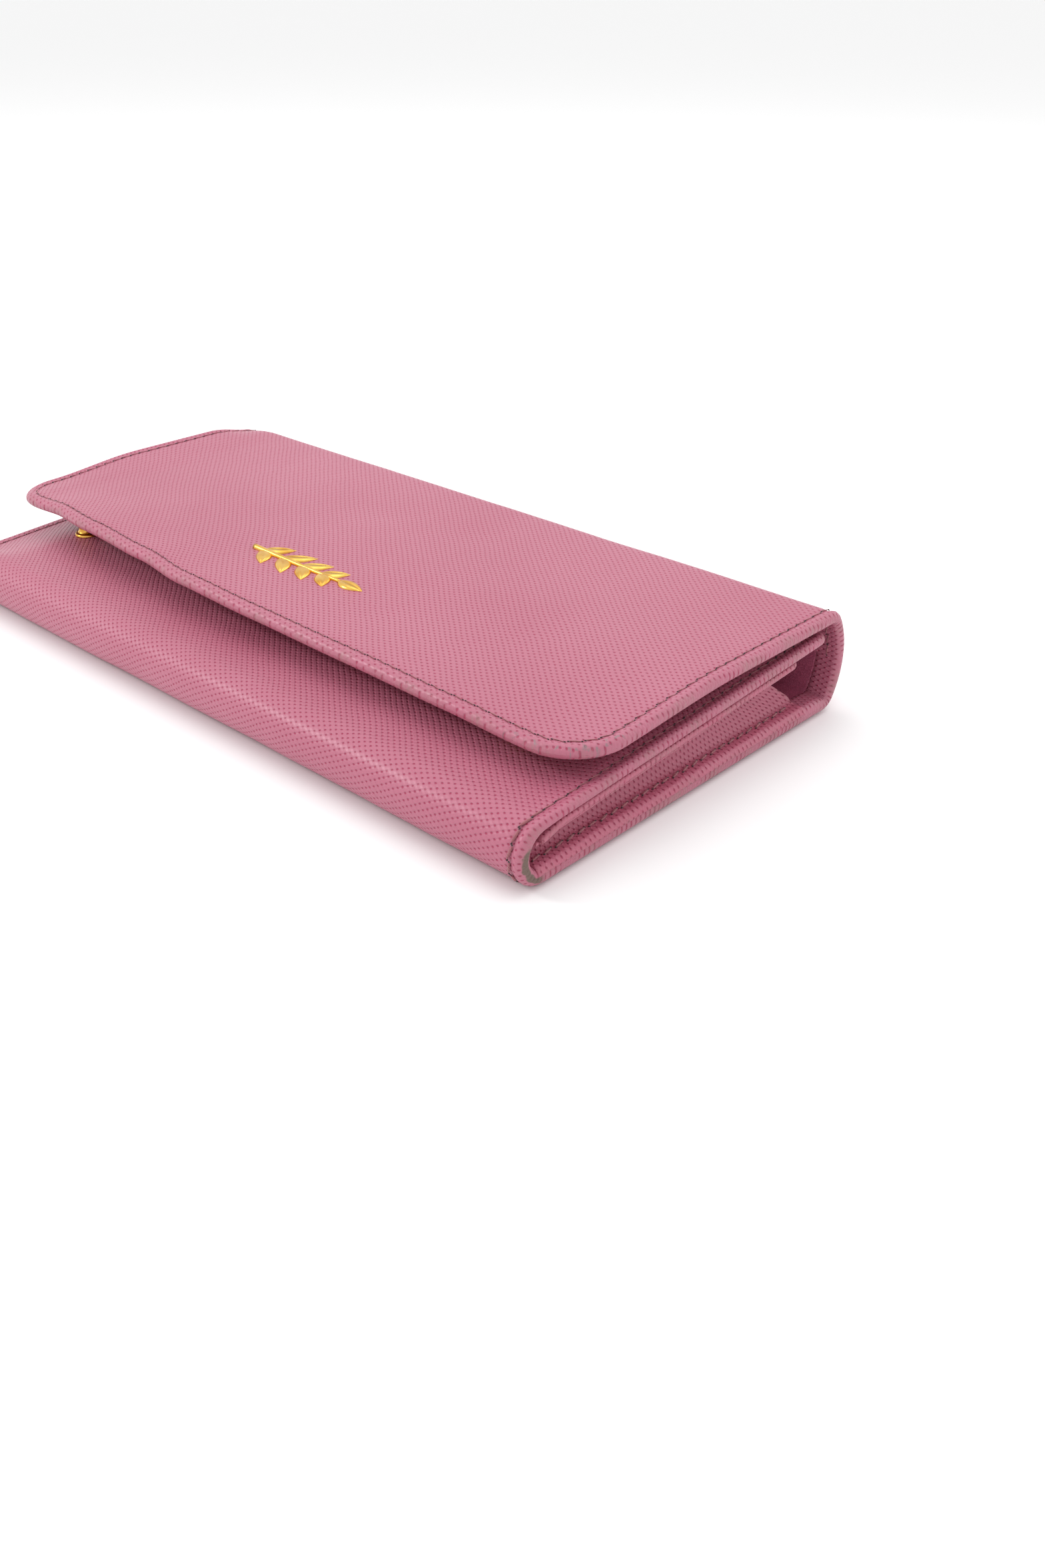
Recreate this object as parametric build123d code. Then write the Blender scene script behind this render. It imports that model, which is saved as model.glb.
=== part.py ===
# Long flap wallet with a snap closure, lying on its back with the flap shut.
# X runs end to end, -Y is the folded front edge, +Y is the spine and Z is up.
# The origin is on the table, under the middle of the wallet. Sizes are millimetres.
import os
from math import asin, cos, degrees, radians, sin, sqrt, tan
from build123d import *

os.makedirs("parts", exist_ok=True)

# Overall sizes
length = 190.0                # end to end
depth = 96.5                  # front fold to the crown of the spine
closed_height = 21.8          # table to the top of the shut flap
fold_radius = 6.2             # outside radius of the front fold
corner_radius = 4.0           # where the spine turns into the back and into the flap
spine_half_turn = 32.0        # half of the angle that the bulged spine turns through, degrees
flap_setback = 14.4           # front fold to the edge of the flap
flap_corner = 12.0            # radius of the flap's two free corners
far = 200.0                   # reach of cutting shapes, past every edge

# Leather, boards and linings
cover = 1.2                   # outer leather
hem = 2.5                     # width of a turned edge
flap_board = 0.8
flap_lining_thick = 0.5
back_board = 0.7
back_lining_thick = 0.4
back_rim = 3.4                # height of the back's turned edge
card_panel_thick = 0.5
card_leaf_thick = 0.35
front_lining_thick = 0.4
coin_leather = 0.8
coin_lining_thick = 0.3
gusset_leather = 0.7
edge_gap = 0.1                # between a lining and the hem round it

# Card pockets
card_columns = 2
card_rows = 4
card_pocket_width = 86.5      # a bank card is 85.6 wide
card_column_gap = 1.0
card_front = -37.0            # closed ends of the pockets
card_panel_rear = 38.0
card_first_mouth = 28.0
card_mouth_step = 11.0

# Front pocket, hinged at the front fold
front_tilt = 3.8              # slope of the front panel, degrees
front_open_limit = 11.25      # how far the front lifts, degrees
front_clearance = 0.4         # left between fold and back with the front lifted
front_rear = 41.4             # rear edge of the front panel
front_corner = 3.0
lining_start = 4.0            # lining begins this far behind the fold
coin_tilt = 2.25              # slope of the coin pocket's inner wall, degrees
coin_front = -38.0
coin_rear = 32.0
coin_drop = 0.1               # inner wall's front edge below the front panel's hem

# Gussets
gusset_flange = 3.5
gusset_edge = 0.5             # flange edge to the end of the wallet
gusset_fold = 12.0            # how far the pleat folds inwards
gusset_front = -37.0
gusset_rear = 31.0

# Zip in the front panel
zip_y = 20.0
zip_window_half = 4.4
zip_window_length = 156.0
zip_tape_thick = 0.4
zip_tape_half = 11.0          # from the middle of the zip to the tape's sewn edge
zip_tape_length = 160.0
chain_half = 2.2
chain_core = 1.2              # teeth stand inwards from here
chain_slot_half = 0.45        # free slot between the two rows
chain_thick = 1.3
chain_length = 148.0
tooth_pitch = 2.2
tooth_width = 1.0
stop_length = 3.0
slider_length = 9.0
slider_half = 3.6
slider_top = 0.8
slider_bottom = 0.6
slider_gap = 0.25             # between slider and chain
slider_divider_half = 0.25
slider_flange = 0.45
slider_flange_width = 1.1
slider_rest_x = 68.0
pull_length = 15.0
pull_width = 4.6
pull_head_radius = 2.6
pull_thick = 0.8
pull_hole_radius = 1.1
pull_post_radius = 0.8
pull_cap_radius = 1.6
pull_gap = 0.3

# Snap fasteners
snap_x = 72.0
snap_y = -22.5
stud_base_radius = 3.0
stud_base = 0.8
stud_radius = 2.2
socket_radius = 4.2
socket_height = 2.4
socket_bore_depth = 2.0
snap_engagement = 1.0         # how far the stud stands inside the socket
snap_clearance = 0.5
rivet_radius = 1.6
plate_radius = 3.4
plate_thick = 0.35

# Ornament on the flap: a plain leafy sprig
emblem_y = -12.5
emblem_thick = 1.1
stem_length = 27.0
stem_width = 1.2
leaf_length = 7.6
leaf_width = 3.2
leaf_angle = 42.0
leaf_pairs = 4
leaf_pitch = 6.0
emblem_post_x = 9.0
emblem_post_radius = 0.7
washer_radius = 2.0
washer_thick = 0.5
fit_gap = 0.05                # a post in its hole

# Worked-out places
half = length / 2
mid_height = closed_height / 2
inside_half = half - hem
flap_thick = cover + flap_board + flap_lining_thick
spine_radius = corner_radius + (mid_height - corner_radius) / sin(radians(spine_half_turn))
spine_y = depth / 2 - spine_radius
corner_y = spine_y + (spine_radius - corner_radius) * cos(radians(spine_half_turn))
# The folds lie where the spine, swung open a quarter turn, comes to rest on the table
fold_angle = 45 + degrees(asin((mid_height / spine_radius - 1) / sqrt(2)))
fold_y = -depth / 2 + fold_radius
back_front = fold_y + fold_radius * radians(front_open_limit) + front_clearance
flap_front = -depth / 2 + flap_setback
tangent_y = fold_y - fold_radius * sin(radians(front_tilt))
tangent_z = fold_radius * (1 + cos(radians(front_tilt)))
front_plane = Plane(
    origin=(0, tangent_y, tangent_z), x_dir=(1, 0, 0),
    z_dir=(0, -sin(radians(front_tilt)), cos(radians(front_tilt))),
)
front_hem = cover + front_lining_thick


def front_top(y):
    """Height of the front panel's outer face at a place along Y."""
    return tangent_z + (y - tangent_y) * tan(radians(front_tilt))


def front_reach(y):
    """Distance along the front panel from the fold to a place along Y."""
    return (y - tangent_y) / cos(radians(front_tilt))


snap_gap = closed_height - flap_thick - socket_height - front_top(snap_y)
stud_height = (snap_gap + snap_engagement) / cos(radians(front_tilt))
coin_top = front_top(coin_front) - front_hem / cos(radians(front_tilt)) - coin_drop
coin_plane = Plane(
    origin=(0, coin_front, coin_top), x_dir=(1, 0, 0),
    z_dir=(0, -sin(radians(coin_tilt)), cos(radians(coin_tilt))),
)
coin_thick = coin_leather + coin_lining_thick


def coin_underside(y):
    """Height of the coin pocket's lower face at a place along Y."""
    rise = (y - coin_front) * tan(radians(coin_tilt))
    return coin_top + rise - coin_thick / cos(radians(coin_tilt))


# Shapes shared by the pieces

def slab(x0, x1, y0, y1, z0, z1):
    """Block between two corners."""
    middle = Pos((x0 + x1) / 2, (y0 + y1) / 2, (z0 + z1) / 2)
    return middle * Box(x1 - x0, y1 - y0, z1 - z0)


def wide_slab(half_width, y0, y1, z0, z1):
    """Block centred end to end."""
    return slab(-half_width, half_width, y0, y1, z0, z1)


def wrap_area(inset):
    """Section inside the back, spine and flap, at a depth under their outer face."""
    quarter = 90 - spine_half_turn
    lower = CenterArc((corner_y, corner_radius), corner_radius, -90, quarter)
    bulge = CenterArc((spine_y, mid_height), spine_radius, -spine_half_turn, 2 * spine_half_turn)
    upper = CenterArc((corner_y, closed_height - corner_radius), corner_radius, spine_half_turn, quarter)
    rest = Polyline(upper @ 1, (-far, closed_height), (-far, 0), lower @ 0)
    area = make_face(lower + bulge + upper + rest)
    return offset(area, -inset, kind=Kind.INTERSECTION) if inset else area


def spine_wedge():
    """Section between the two folds of the spine."""
    reach_y = spine_y + far * cos(radians(fold_angle))
    reach_z = far * sin(radians(fold_angle))
    centre = (spine_y, mid_height)
    low, high = (reach_y, mid_height - reach_z), (reach_y, mid_height + reach_z)
    return make_face(Polyline(centre, low, high, close=True))


def half_area(front, low, high):
    """Section behind a place along Y and between two heights."""
    return Pos((front + far) / 2, (low + high) / 2) * Rectangle(far - front, high - low)


def across(section, half_width):
    """Section stood across the wallet and drawn out end to end."""
    return extrude(Plane.YZ * section, half_width, both=True)


def outer_layer(region, top, bottom, half_width):
    """Layer of the wrap between two depths, in a region of the section outside the spine's folds."""
    return across((wrap_area(top) - wrap_area(bottom)) & region - spine_wedge(), half_width)


def spine_layer(top, bottom, half_width):
    """Layer of the wrap between two depths, between the spine's folds."""
    return across((wrap_area(top) - wrap_area(bottom)) & spine_wedge(), half_width)


def plan_block(half_width, front, rear, radius=0.0):
    """Tall block over a plan shape whose two front corners may be rounded."""
    shape = Pos(0, (front + rear) / 2) * Rectangle(2 * half_width, rear - front)
    if radius:
        shape = fillet(shape.vertices().group_by(Axis.Y)[0], radius)
    return extrude(Pos(0, 0, -far) * shape, 2 * far)


def disc(radius, z0, z1):
    """Upright cylinder between two heights."""
    return Pos(0, 0, (z0 + z1) / 2) * Cylinder(radius, z1 - z0)


def save(node, shape, colour):
    """Write one piece to its own file."""
    shape.color = colour
    shape.label = node
    export_step(shape, f"parts/{node}.step")


pink = Color(0.75, 0.42, 0.50)
board_grey = Color(0.70, 0.68, 0.64)
lining_pink = Color(0.62, 0.36, 0.42)
gold = Color(0.85, 0.68, 0.32)

back_region = half_area(back_front, 0, mid_height)
flap_region = half_area(-far, mid_height, closed_height)


# Back: flat on the table, turned up at both ends and at the spine

def back_cover():
    skin = outer_layer(back_region, 0, cover, half)
    thick = outer_layer(back_region, 0, back_rim, half)
    return skin + (thick - plan_block(inside_half, -far, far))


def back_stiffener():
    width = inside_half - edge_gap
    return wide_slab(width, back_front, corner_y, cover, cover + back_board)


def back_lining():
    top = cover + back_board
    return outer_layer(back_region, top, top + back_lining_thick, inside_half - edge_gap)


card_floor = cover + back_board + back_lining_thick
leaf_floor = card_floor + card_panel_thick


def card_panel():
    return wide_slab(inside_half - edge_gap, card_front, card_panel_rear, card_floor, leaf_floor)


def card_leaf(side, row):
    """One pocket leaf; row 0 lies lowest and opens nearest to the spine."""
    near = side * card_column_gap / 2
    outer = side * (card_column_gap / 2 + card_pocket_width)
    mouth = card_first_mouth - row * card_mouth_step
    low = leaf_floor + row * card_leaf_thick
    return slab(min(near, outer), max(near, outer), card_front, mouth, low, low + card_leaf_thick)


def gusset_outline(y):
    """Closed outline of one pleated gusset at a place along Y."""
    outer = half - gusset_edge
    inner = outer - gusset_flange
    low = back_rim
    high = coin_underside(y)
    slope = asin((high - low) / 2 / sqrt(gusset_fold ** 2 + ((high - low) / 2) ** 2))
    turn = gusset_leather * tan(slope / 2)
    tip = inner - gusset_fold
    points = [
        (outer, low), (inner, low), (tip, (low + high) / 2), (inner, high), (outer, high),
        (outer, high - gusset_leather), (inner + turn, high - gusset_leather),
        (tip + gusset_leather / sin(slope), (low + high) / 2),
        (inner + turn, low + gusset_leather), (outer, low + gusset_leather),
    ]
    return make_face(Polyline([(x, y, z) for x, z in points], close=True))


def gusset():
    """Right-hand gusset: two leaves that fold inwards between back and front."""
    return loft([gusset_outline(gusset_front), gusset_outline(gusset_rear)], ruled=True)


# Spine: bulges outwards between its two folds

def spine_cover():
    skin = spine_layer(0, cover, half)
    thick = spine_layer(0, flap_thick, half)
    return skin + (thick - plan_block(inside_half, -far, far))


def spine_interlining():
    return spine_layer(cover, cover + flap_board, inside_half - edge_gap)


def spine_lining():
    return spine_layer(cover + flap_board, flap_thick, inside_half - edge_gap)


# Flap: turned edge on three sides, board and lining inside it

flap_block = plan_block(half, flap_front, far, flap_corner)
flap_inner_block = plan_block(inside_half, flap_front + hem, far, flap_corner - hem)
flap_lining_block = plan_block(
    inside_half - edge_gap, flap_front + hem + edge_gap, far, flap_corner - hem - edge_gap)
flap_underside = closed_height - flap_thick


def emblem_posts(radius, z0, z1):
    """Two discs on the ornament's posts."""
    return [Pos(x, emblem_y, 0) * disc(radius, z0, z1) for x in (-emblem_post_x, emblem_post_x)]


def socket_places(radius, z0, z1):
    """Two discs on the snaps' centres."""
    return [Pos(x, snap_y, 0) * disc(radius, z0, z1) for x in (-snap_x, snap_x)]


def flap_cover():
    skin = outer_layer(flap_region, 0, cover, half) & flap_block
    thick = outer_layer(flap_region, 0, flap_thick, half) & flap_block
    shape = skin + (thick - flap_inner_block)
    return shape - emblem_posts(emblem_post_radius + fit_gap, mid_height, far)


def flap_stiffener():
    top = closed_height - cover
    shape = wide_slab(half, flap_front, corner_y, top - flap_board, top) & flap_lining_block
    shape -= emblem_posts(washer_radius + edge_gap, mid_height, far)
    return shape - socket_places(plate_radius + edge_gap, mid_height, far)


def flap_lining():
    shape = outer_layer(flap_region, cover + flap_board, flap_thick, half) & flap_lining_block
    return shape - socket_places(rivet_radius + fit_gap, mid_height, far)


def leaf():
    """Pointed leaf along +X, starting at the origin."""
    upper = ThreePointArc((0, 0), (leaf_length / 2, leaf_width / 2), (leaf_length, 0))
    lower = ThreePointArc((leaf_length, 0), (leaf_length / 2, -leaf_width / 2), (0, 0))
    return make_face(upper + lower)


def emblem():
    """Leafy sprig with two posts that hold it to the flap."""
    outline = Rectangle(stem_length, stem_width)
    first = -(leaf_pairs - 1) * leaf_pitch / 2 - leaf_pitch / 2
    for pair in range(leaf_pairs):
        for angle in (-leaf_angle, leaf_angle):
            outline += Pos(first + pair * leaf_pitch, 0) * Rot(0, 0, angle) * leaf()
    outline += Pos(stem_length / 2 - stem_width, 0) * leaf()
    shift = -(leaf_length - stem_width) / 2
    body = extrude(Pos(shift, emblem_y, closed_height) * outline, emblem_thick)
    for post in emblem_posts(emblem_post_radius, closed_height - cover - washer_thick, closed_height):
        body += post
    return body


def emblem_washers():
    top = closed_height - cover
    rings = emblem_posts(washer_radius, top - washer_thick, top)
    holes = emblem_posts(emblem_post_radius + fit_gap, mid_height, far)
    return Compound(children=[ring - hole for ring, hole in zip(rings, holes)])


def snap_socket():
    """Socket under the flap, with the rivet neck that passes through the lining."""
    body = disc(socket_radius, flap_underside - socket_height, flap_underside)
    body = fillet(body.edges().group_by(Axis.Z)[0], stud_base / 2)
    bore_low = flap_underside - socket_height
    body -= disc(stud_radius + snap_clearance, bore_low, bore_low + socket_bore_depth)
    return body + disc(rivet_radius, flap_underside - stud_base / 2, flap_underside + flap_lining_thick)


def socket_plates():
    low = flap_underside + flap_lining_thick
    return Compound(children=socket_places(plate_radius, low, low + plate_thick))


# Front: panel that wraps the front fold, zip, coin pocket and snap studs

def fold_band(thick):
    """Section of the front fold, from the table round to the front panel."""
    outer = CenterArc((fold_y, fold_radius), fold_radius, 90 + front_tilt, 180 - front_tilt)
    inner = CenterArc((fold_y, fold_radius), fold_radius - thick, 90 + front_tilt, 180 - front_tilt)
    return make_face(outer + inner + Line(outer @ 0, inner @ 0) + Line(outer @ 1, inner @ 1))


def on_front(shape):
    """Piece drawn on the front panel's outer face, set in its place."""
    return front_plane.location * shape


def stud_places(radius, z0, z1):
    """Two discs on the studs' centres, in the front panel's own frame."""
    return [Pos(x, front_reach(snap_y), 0) * disc(radius, z0, z1) for x in (-snap_x, snap_x)]


front_length = front_reach(front_rear)
zip_reach = front_reach(zip_y)
window_length_half = zip_window_length / 2


def front_panel():
    flat = wide_slab(half, 0, front_length, -front_hem, 0)
    rear_corners = flat.edges().filter_by(Axis.Z).group_by(Axis.Y)[-1]
    flat = fillet(rear_corners, front_corner)
    flat -= wide_slab(inside_half, -hem, front_length - hem, -front_hem, -cover)
    window = (zip_reach - zip_window_half, zip_reach + zip_window_half)
    flat -= wide_slab(window_length_half, *window, -front_hem, 0)
    flat -= stud_places(rivet_radius + fit_gap, -front_hem, 0)
    ends = across(fold_band(front_hem), half) - plan_block(inside_half, -far, far)
    return on_front(flat) + across(fold_band(cover), half) + ends


def front_lining():
    rear = front_length - hem - edge_gap
    shape = wide_slab(inside_half - edge_gap, lining_start, rear, -front_hem, -cover)
    window = (zip_reach - zip_tape_half, zip_reach + zip_tape_half)
    shape -= wide_slab(zip_tape_length / 2, *window, -front_hem, -cover)
    shape -= stud_places(plate_radius + edge_gap, -front_hem, -cover)
    return on_front(shape)


def coin_slab(top, bottom, half_width):
    """Layer of the coin pocket's inner wall, rounded at its two rear corners."""
    run = (coin_rear - coin_front) / cos(radians(coin_tilt))
    shape = wide_slab(half_width, 0, run, bottom, top)
    return coin_plane.location * fillet(shape.edges().filter_by(Axis.Z).group_by(Axis.Y)[-1], front_corner)


def coin_wall():
    return coin_slab(-coin_lining_thick, -coin_thick, half)


def coin_lining():
    return coin_slab(0, -coin_lining_thick, inside_half)


chain_top = -cover - zip_tape_thick / 2 + chain_thick / 2
chain_bottom = chain_top - chain_thick


def zip_tape(side):
    near = side * chain_half
    outer = side * zip_tape_half
    low, high = min(near, outer), max(near, outer)
    bottom = -cover - zip_tape_thick
    return on_front(wide_slab(zip_tape_length / 2, zip_reach + low, zip_reach + high, bottom, -cover))


def zip_teeth(side):
    """One row of teeth on its core; the two rows are half a pitch apart."""
    teeth = int(chain_length / tooth_pitch)
    start = -teeth * tooth_pitch / 2 + (tooth_pitch / 2 if side > 0 else 0)
    points = [(-chain_length / 2, side * chain_half), (-chain_length / 2, side * chain_core)]
    for tooth in range(teeth):
        left = start + tooth * tooth_pitch
        for x, y in ((left, chain_core), (left, chain_slot_half)):
            points.append((x, side * y))
        for x, y in ((left + tooth_width, chain_slot_half), (left + tooth_width, chain_core)):
            points.append((x, side * y))
    points += [(chain_length / 2, side * chain_core), (chain_length / 2, side * chain_half)]
    outline = make_face(Polyline(points, close=True))
    return on_front(extrude(Pos(0, zip_reach, chain_bottom) * outline, chain_thick, dir=(0, 0, 1)))


def zip_stop(side):
    low = side * chain_length / 2
    high = low + side * stop_length
    shape = slab(min(low, high), max(low, high), zip_reach - chain_half, zip_reach + chain_half,
                 chain_bottom, chain_top)
    return on_front(shape)


slider_roof = chain_top + slider_gap + slider_top
pull_low = slider_roof + pull_gap
pull_high = pull_low + pull_thick
cap_low = pull_high + pull_gap


def slider_body():
    """Slider: two plates with side flanges, joined by the divider between the rows."""
    x0 = slider_rest_x - slider_length / 2
    x1 = slider_rest_x + slider_length / 2
    y0, y1 = zip_reach - slider_half, zip_reach + slider_half
    roof_low = slider_roof - slider_top
    floor_high = chain_bottom - slider_gap
    floor_low = floor_high - slider_bottom
    roof = slab(x0, x1, y0, y1, roof_low, slider_roof)
    floor = slab(x0, x1, y0, y1, floor_low, floor_high)
    corners = slider_half / 2
    body = fillet(roof.edges().filter_by(Axis.Z), corners) + fillet(floor.edges().filter_by(Axis.Z), corners)
    for y in (y0, y1 - slider_flange_width):
        flange_top = floor_high + slider_flange
        flange = slab(x0 + corners, x1 - corners, y, y + slider_flange_width, floor_high, flange_top)
        body += flange
        body += Pos(0, 0, roof_low - slider_flange - floor_high) * flange
    middle = (zip_reach - slider_divider_half, zip_reach + slider_divider_half)
    body += slab(x1 - slider_length / 2, x1 - corners, *middle, floor_low, slider_roof)
    post = Pos(slider_rest_x, zip_reach, 0)
    body += post * disc(pull_post_radius, slider_roof - slider_top / 2, cap_low + pull_gap)
    body += post * disc(pull_cap_radius, cap_low, cap_low + pull_gap)
    return on_front(body)


def pull_tab():
    """Puller on the slider's post, lying towards the front fold."""
    blade = wide_slab(pull_width / 2, -pull_length, 0, pull_low, pull_high)
    blade = fillet(blade.edges().filter_by(Axis.Z).group_by(Axis.Y)[0], pull_width / 3)
    shape = blade + disc(pull_head_radius, pull_low, pull_high) - disc(pull_hole_radius, pull_low, pull_high)
    return on_front(Pos(slider_rest_x, zip_reach, 0) * shape)


def snap_stud(side):
    """Stud on the front panel, with the rivet neck that passes through the leather."""
    base = disc(stud_base_radius, 0, stud_base)
    base = fillet(base.edges().group_by(Axis.Z)[-1], stud_base / 2)
    post = disc(stud_radius, 0, stud_height)
    post = fillet(post.edges().group_by(Axis.Z)[-1], stud_radius / 2)
    shape = base + post + disc(rivet_radius, -cover, 0)
    return on_front(Pos(side * snap_x, front_reach(snap_y), 0) * shape)


def stud_plates():
    discs = stud_places(plate_radius, -cover - plate_thick, -cover)
    return Compound(children=[on_front(plate) for plate in discs])


# Pieces and their files
save("back_cover", back_cover(), pink)
save("back_stiffener", back_stiffener(), board_grey)
save("back_lining", back_lining(), lining_pink)
save("card_panel", card_panel(), lining_pink)
for side_name, side in (("left", -1), ("right", 1)):
    for row in range(card_rows):
        save(f"card_leaf_{side_name}_{row + 1}", card_leaf(side, row), pink)
right_gusset = gusset()
save("gusset_right", right_gusset, pink)
save("gusset_left", mirror(right_gusset, Plane.YZ), pink)
save("spine_cover", spine_cover(), pink)
save("spine_interlining", spine_interlining(), board_grey)
save("spine_lining", spine_lining(), lining_pink)
save("flap_cover", flap_cover(), pink)
save("flap_stiffener", flap_stiffener(), board_grey)
save("flap_lining", flap_lining(), lining_pink)
save("emblem", emblem(), gold)
save("emblem_washers", emblem_washers(), gold)
for side_name, side in (("left", -1), ("right", 1)):
    save(f"snap_socket_{side_name}", Pos(side * snap_x, snap_y, 0) * snap_socket(), gold)
    save(f"snap_stud_{side_name}", snap_stud(side), gold)
    save(f"zip_stop_{side_name}", zip_stop(side), gold)
save("socket_plates", socket_plates(), gold)
save("stud_plates", stud_plates(), gold)
save("front_panel", front_panel(), pink)
save("front_lining", front_lining(), lining_pink)
save("coin_wall", coin_wall(), pink)
save("coin_lining", coin_lining(), lining_pink)
for side_name, side in (("front", -1), ("rear", 1)):
    save(f"zip_tape_{side_name}", zip_tape(side), lining_pink)
    save(f"zip_teeth_{side_name}", zip_teeth(side), gold)
save("slider_body", slider_body(), gold)
save("pull_tab", pull_tab(), gold)

# Where the folds and pivots are, for the record
hinge_y = spine_y + spine_radius * cos(radians(fold_angle))
hinge_z = mid_height - spine_radius * sin(radians(fold_angle))
print(f"spine fold  y {hinge_y:.3f}  z {hinge_z:.3f}")
print(f"flap fold   y {hinge_y:.3f}  z {closed_height - hinge_z:.3f}")
print(f"front fold  y {fold_y:.3f}  z {fold_radius:.3f}")
pull_pivot = front_plane.location * Pos(slider_rest_x, zip_reach, pull_low)
print("pull pivot ", pull_pivot.position, " axis ", front_plane.z_dir)
print(f"slider travel {2 * slider_rest_x:.1f}")
leaf_top = leaf_floor + card_rows * card_leaf_thick
print(f"compartment roof at its front {coin_underside(coin_front):.2f}, floor {leaf_top:.2f}")
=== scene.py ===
# Long flap wallet: leather, linings, zip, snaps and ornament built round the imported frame.
# X runs end to end, -Y is the folded front edge, +Y is the spine and Z is up.
# Shapes are worked out in millimetres and turned into metres when a piece is finished.
from math import cos, exp, hypot, pi, radians, sin, sqrt, tan

import bmesh
import bpy
from mathutils import Matrix, Vector, kdtree, noise


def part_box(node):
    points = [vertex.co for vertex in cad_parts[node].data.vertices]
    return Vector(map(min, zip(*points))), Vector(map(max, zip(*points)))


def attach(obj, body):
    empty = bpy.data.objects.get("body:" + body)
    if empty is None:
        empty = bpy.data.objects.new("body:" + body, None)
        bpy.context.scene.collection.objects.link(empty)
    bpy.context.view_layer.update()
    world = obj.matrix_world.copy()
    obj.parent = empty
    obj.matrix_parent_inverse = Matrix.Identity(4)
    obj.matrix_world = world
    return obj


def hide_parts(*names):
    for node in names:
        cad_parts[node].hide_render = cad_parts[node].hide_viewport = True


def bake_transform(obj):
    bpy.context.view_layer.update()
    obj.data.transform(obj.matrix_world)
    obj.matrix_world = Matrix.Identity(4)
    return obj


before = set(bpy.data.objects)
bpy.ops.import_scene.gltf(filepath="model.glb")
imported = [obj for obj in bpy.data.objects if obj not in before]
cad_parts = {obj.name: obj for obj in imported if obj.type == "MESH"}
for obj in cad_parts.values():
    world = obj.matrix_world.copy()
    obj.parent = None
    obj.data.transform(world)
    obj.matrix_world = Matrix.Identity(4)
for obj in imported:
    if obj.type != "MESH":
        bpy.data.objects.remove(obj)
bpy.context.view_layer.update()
mm = 0.001
ends = (("left", -1), ("right", 1))


def low(node):
    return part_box(node)[0] / mm


def high(node):
    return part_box(node)[1] / mm


# ---- sizes of the frame

half = high("back_cover").x                 # middle to either end
top = high("flap_cover").z                  # upper face of the shut flap
mid = top / 2
flap_front = low("flap_cover").y
nose = low("front_panel").y                 # outermost point of the front fold
crown = high("spine_cover").y
corner_radius = 4.0
spine_half_turn = radians(32)
fold_radius = 6.2
front_tilt = radians(3.8)
flap_corner = 12.0
panel_corner = 3.0
flap_thick = 2.5
spine_radius = corner_radius + (mid - corner_radius) / sin(spine_half_turn)
spine_y = crown - spine_radius
corner_y = spine_y + (spine_radius - corner_radius) * cos(spine_half_turn)
fold_y = nose + fold_radius
panel_start = (fold_y - fold_radius * sin(front_tilt), fold_radius * (1 + cos(front_tilt)))
panel_length = (41.4 - panel_start[0]) / cos(front_tilt)
pitch = 2.9                                 # from one stitch to the next
inset = 2.8                                 # stitch line to the edge
rim_uv = 0.4                                # how wide a rim is on the flat leather, for the grain
far_off = 99.0                              # distance to an edge that isn't there
window_shaped = 3                           # how far the leather is shaped round the zip's opening


# ---- the section the leather follows

# Each run: length, then either start and heading, or centre, radius and start angle of a clockwise bend
section = [
    (corner_y - flap_front, "straight", flap_front, top, 0.0),
    (corner_radius * (pi / 2 - spine_half_turn), "bend",
     corner_y, top - corner_radius, corner_radius, pi / 2),
    (spine_radius * 2 * spine_half_turn, "bend", spine_y, mid, spine_radius, spine_half_turn),
    (corner_radius * (pi / 2 - spine_half_turn), "bend",
     corner_y, corner_radius, corner_radius, -spine_half_turn),
    (corner_y - fold_y, "straight", corner_y, 0.0, pi),
    (fold_radius * (pi - front_tilt), "bend", fold_y, fold_radius, fold_radius, -pi / 2),
    (panel_length, "straight", *panel_start, front_tilt),
]
run_ends = [sum(run[0] for run in section[:i + 1]) for i in range(len(section))]
spine_middle = run_ends[1] + section[2][0] / 2
bottom_middle = run_ends[3] + corner_y
fold_begin, fold_end, panel_end = run_ends[4], run_ends[5], run_ends[6]


def on_section(s, depth=0.0):
    """Place (y, z) at a distance along the outer face from the flap's edge, and a depth under it."""
    index = next((i for i, end in enumerate(run_ends) if s <= end), len(section) - 1)
    run = section[index]
    along = s - (run_ends[index] - run[0])
    if run[1] == "straight":
        y, z, heading = run[2:]
        return (y + along * cos(heading) + depth * sin(heading),
                z + along * sin(heading) - depth * cos(heading))
    cy, cz, radius, start = run[2:]
    angle = start - along / radius
    return cy + (radius - depth) * cos(angle), cz + (radius - depth) * sin(angle)


def ease(low_end, high_end, value):
    """Smooth step from 0 to 1 between two values."""
    t = min(1.0, max(0.0, (value - low_end) / (high_end - low_end)))
    return t * t * (3 - 2 * t)


def through(points, value):
    """Smooth value read from a short list of (place, value) points."""
    for (a, va), (b, vb) in zip(points, points[1:]):
        if value <= b:
            return va + (vb - va) * ease(a, b, value)
    return points[-1][1]


flap_lie = [(-95, -1.2), (-84, -0.2), (-70, 0.5), (-56, 0.7), (-36, 0.2), (-18, -0.4), (5, -1.0), (36, -1.4),
            (62, -1.8), (80, -2.3), (95, -2.1)]
edge_drawn_back = [(-95, 4.4), (-74, 4.1), (-56, 2.3), (-34, 1.4), (-18, 0.0)]


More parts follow.
